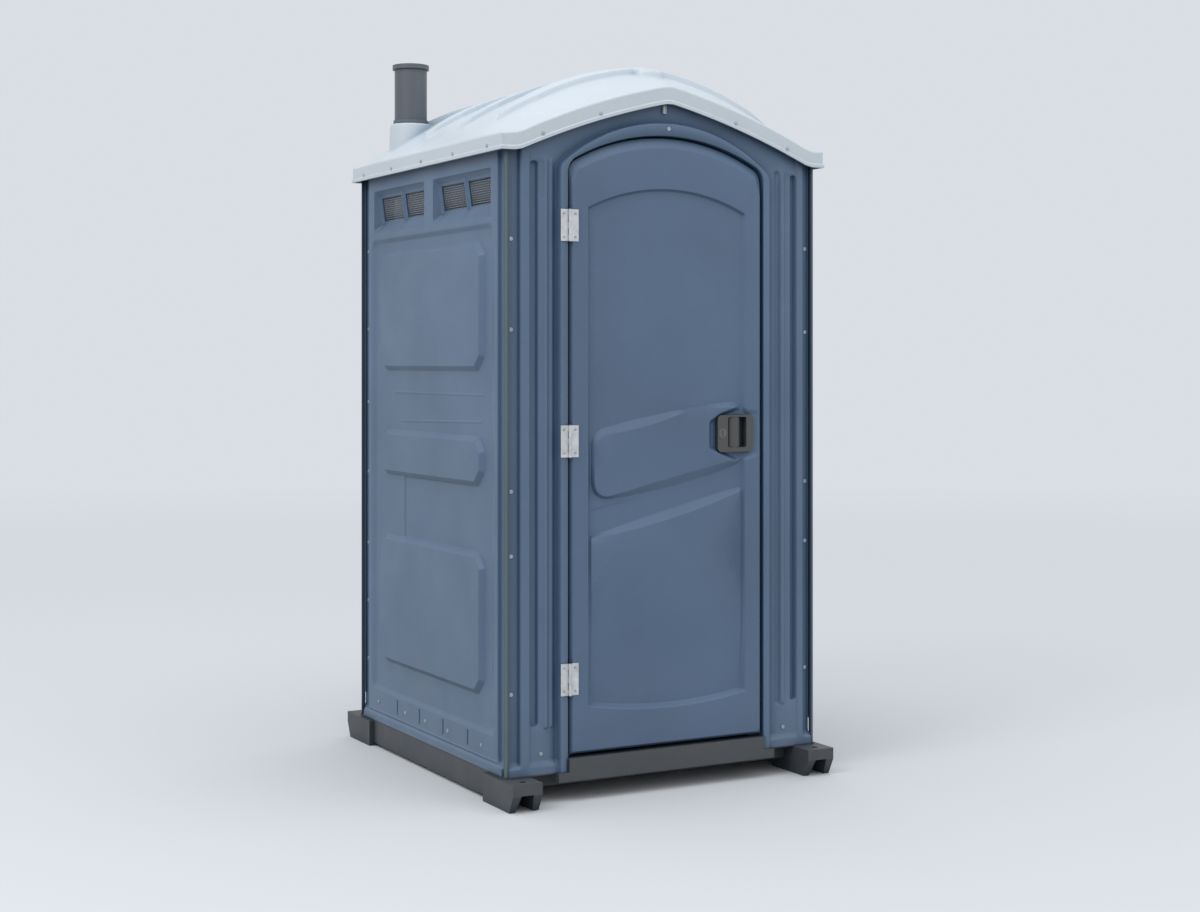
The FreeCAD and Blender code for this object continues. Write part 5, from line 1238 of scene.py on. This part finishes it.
def dress_nodes():
    """Give every solid the material of its slot."""
    for row in frame["record"]["subparts"]:
        node = NODES[row["node"]]
        node.data.materials.clear()
        node.data.materials.append(MATERIAL_OF_SLOT[row["material_slot"]])


def soften_edges(width, *names):
    """Small rounding on the sharp edges of solids."""
    for name in names:
        bevel = NODES[name].modifiers.new("rounded_edges", "BEVEL")
        bevel.width = width
        bevel.segments = EDGE_SEGMENTS
        bevel.limit_method = "ANGLE"
        bevel.angle_limit = math.radians(EDGE_ANGLE)
        bevel.harden_normals = True


# Stage

def seen_by_camera(tree, camera_socket, other_socket):
    """Mix of two shaders: one for what the camera and mirrors see, the other for light on the object."""
    path = add(tree, "LightPath")
    share = path.outputs["Is Camera Ray"]
    for ray in ("Is Glossy Ray", "Is Transmission Ray"):
        share = calculate(tree, "MAXIMUM", share, path.outputs[ray])
    return mix_shaders(tree, share, other_socket, camera_socket)


def mix_shaders(tree, share, first, second):
    """Mix of two shaders."""
    mix = add(tree, "MixShader")
    tree.links.new(share, mix.inputs["Fac"])
    tree.links.new(first, mix.inputs[1])
    tree.links.new(second, mix.inputs[2])
    return mix.outputs["Shader"]


def floor_material():
    """Pale floor that fades into the backdrop and throws little light up at the object."""
    material, tree, shader = new_material("stage_pale")
    feed(tree, shader.inputs["Base Color"], GROUND_SEEN)
    shader.inputs["Roughness"].default_value = FLOOR_ROUGHNESS
    shader.inputs["Specular IOR Level"].default_value = 0.0
    place = add(tree, "NewGeometry")
    away = add(tree, "VectorMath")
    away.operation = "LENGTH"
    tree.links.new(place.outputs["Position"], away.inputs[0])
    fade = ramp(tree, away.outputs["Value"], FADE_START, FADE_END, 0.0, 1.0)
    far = add(tree, "Emission", Color=(*BACKDROP, 1), Strength=1.0)
    seen = mix_shaders(tree, fade, shader.outputs["BSDF"], far.outputs["Emission"])
    dim = add(tree, "BsdfDiffuse", Color=(*GROUND, 1))
    mixed = seen_by_camera(tree, seen, dim.outputs["BSDF"])
    tree.links.new(mixed, tree.nodes["Material Output"].inputs["Surface"])
    return material


def build_floor():
    """Floor under the object."""
    bpy.ops.mesh.primitive_plane_add(size=FLOOR_SIZE, location=(0, 0, FLOOR_Z))
    floor = bpy.context.object
    floor.name = "stage_floor"
    floor.data.materials.append(floor_material())


def build_world():
    """Even sky light with a plain backdrop."""
    world = bpy.data.worlds.new("studio")
    bpy.context.scene.world = world
    world.use_nodes = True
    tree = world.node_tree
    sky = tree.nodes["Background"]
    feed(tree, sky.inputs["Color"], SKY)
    sky.inputs["Strength"].default_value = SKY_STRENGTH
    backdrop = add(tree, "Background", Color=(*BACKDROP, 1), Strength=1.0)
    mixed = seen_by_camera(tree, backdrop.outputs["Background"], sky.outputs["Background"])
    tree.links.new(mixed, tree.nodes["World Output"].inputs["Surface"])


def build_lamps():
    """Soft lamps round the object."""
    for name, place, size, power in LAMPS:
        light = bpy.data.lights.new(name, "AREA")
        light.size = size
        light.energy = power
        holder = bpy.data.objects.new(name, light)
        bpy.context.scene.collection.objects.link(holder)
        holder.location = place
        aim = mathutils.Vector(LAMP_AIM) - holder.location
        holder.rotation_euler = aim.to_track_quat("-Z", "Y").to_euler()


def build_camera():
    """Camera where the photograph was taken from."""
    data = bpy.data.cameras.new("camera")
    data.lens = CAMERA_LENS
    data.sensor_width = CAMERA_SENSOR
    data.shift_y = CAMERA_SHIFT_Y
    holder = bpy.data.objects.new("camera", data)
    bpy.context.scene.collection.objects.link(holder)
    holder.location = CAMERA_PLACE
    holder.rotation_euler = (math.radians(90), 0, math.radians(CAMERA_YAW))
    bpy.context.scene.camera = holder


dress_nodes()
soften_edges(BODY_EDGE, "corner_post_front_left", "corner_post_front_right", "corner_post_rear_left",
             "corner_post_rear_right", "skid_left", "skid_right", "floor_pan")
soften_edges(LATCH_EDGE, "latch_housing", "latch_grip", "strike_plate")
side_wall("left_wall", LEFT)
side_wall("right_wall", RIGHT)
rear_wall()
front_frame()
door_skin()
roof()
vent_screens()
build_floor()
build_world()
build_lamps()
build_camera()
bpy.context.scene.view_settings.view_transform = "Standard"
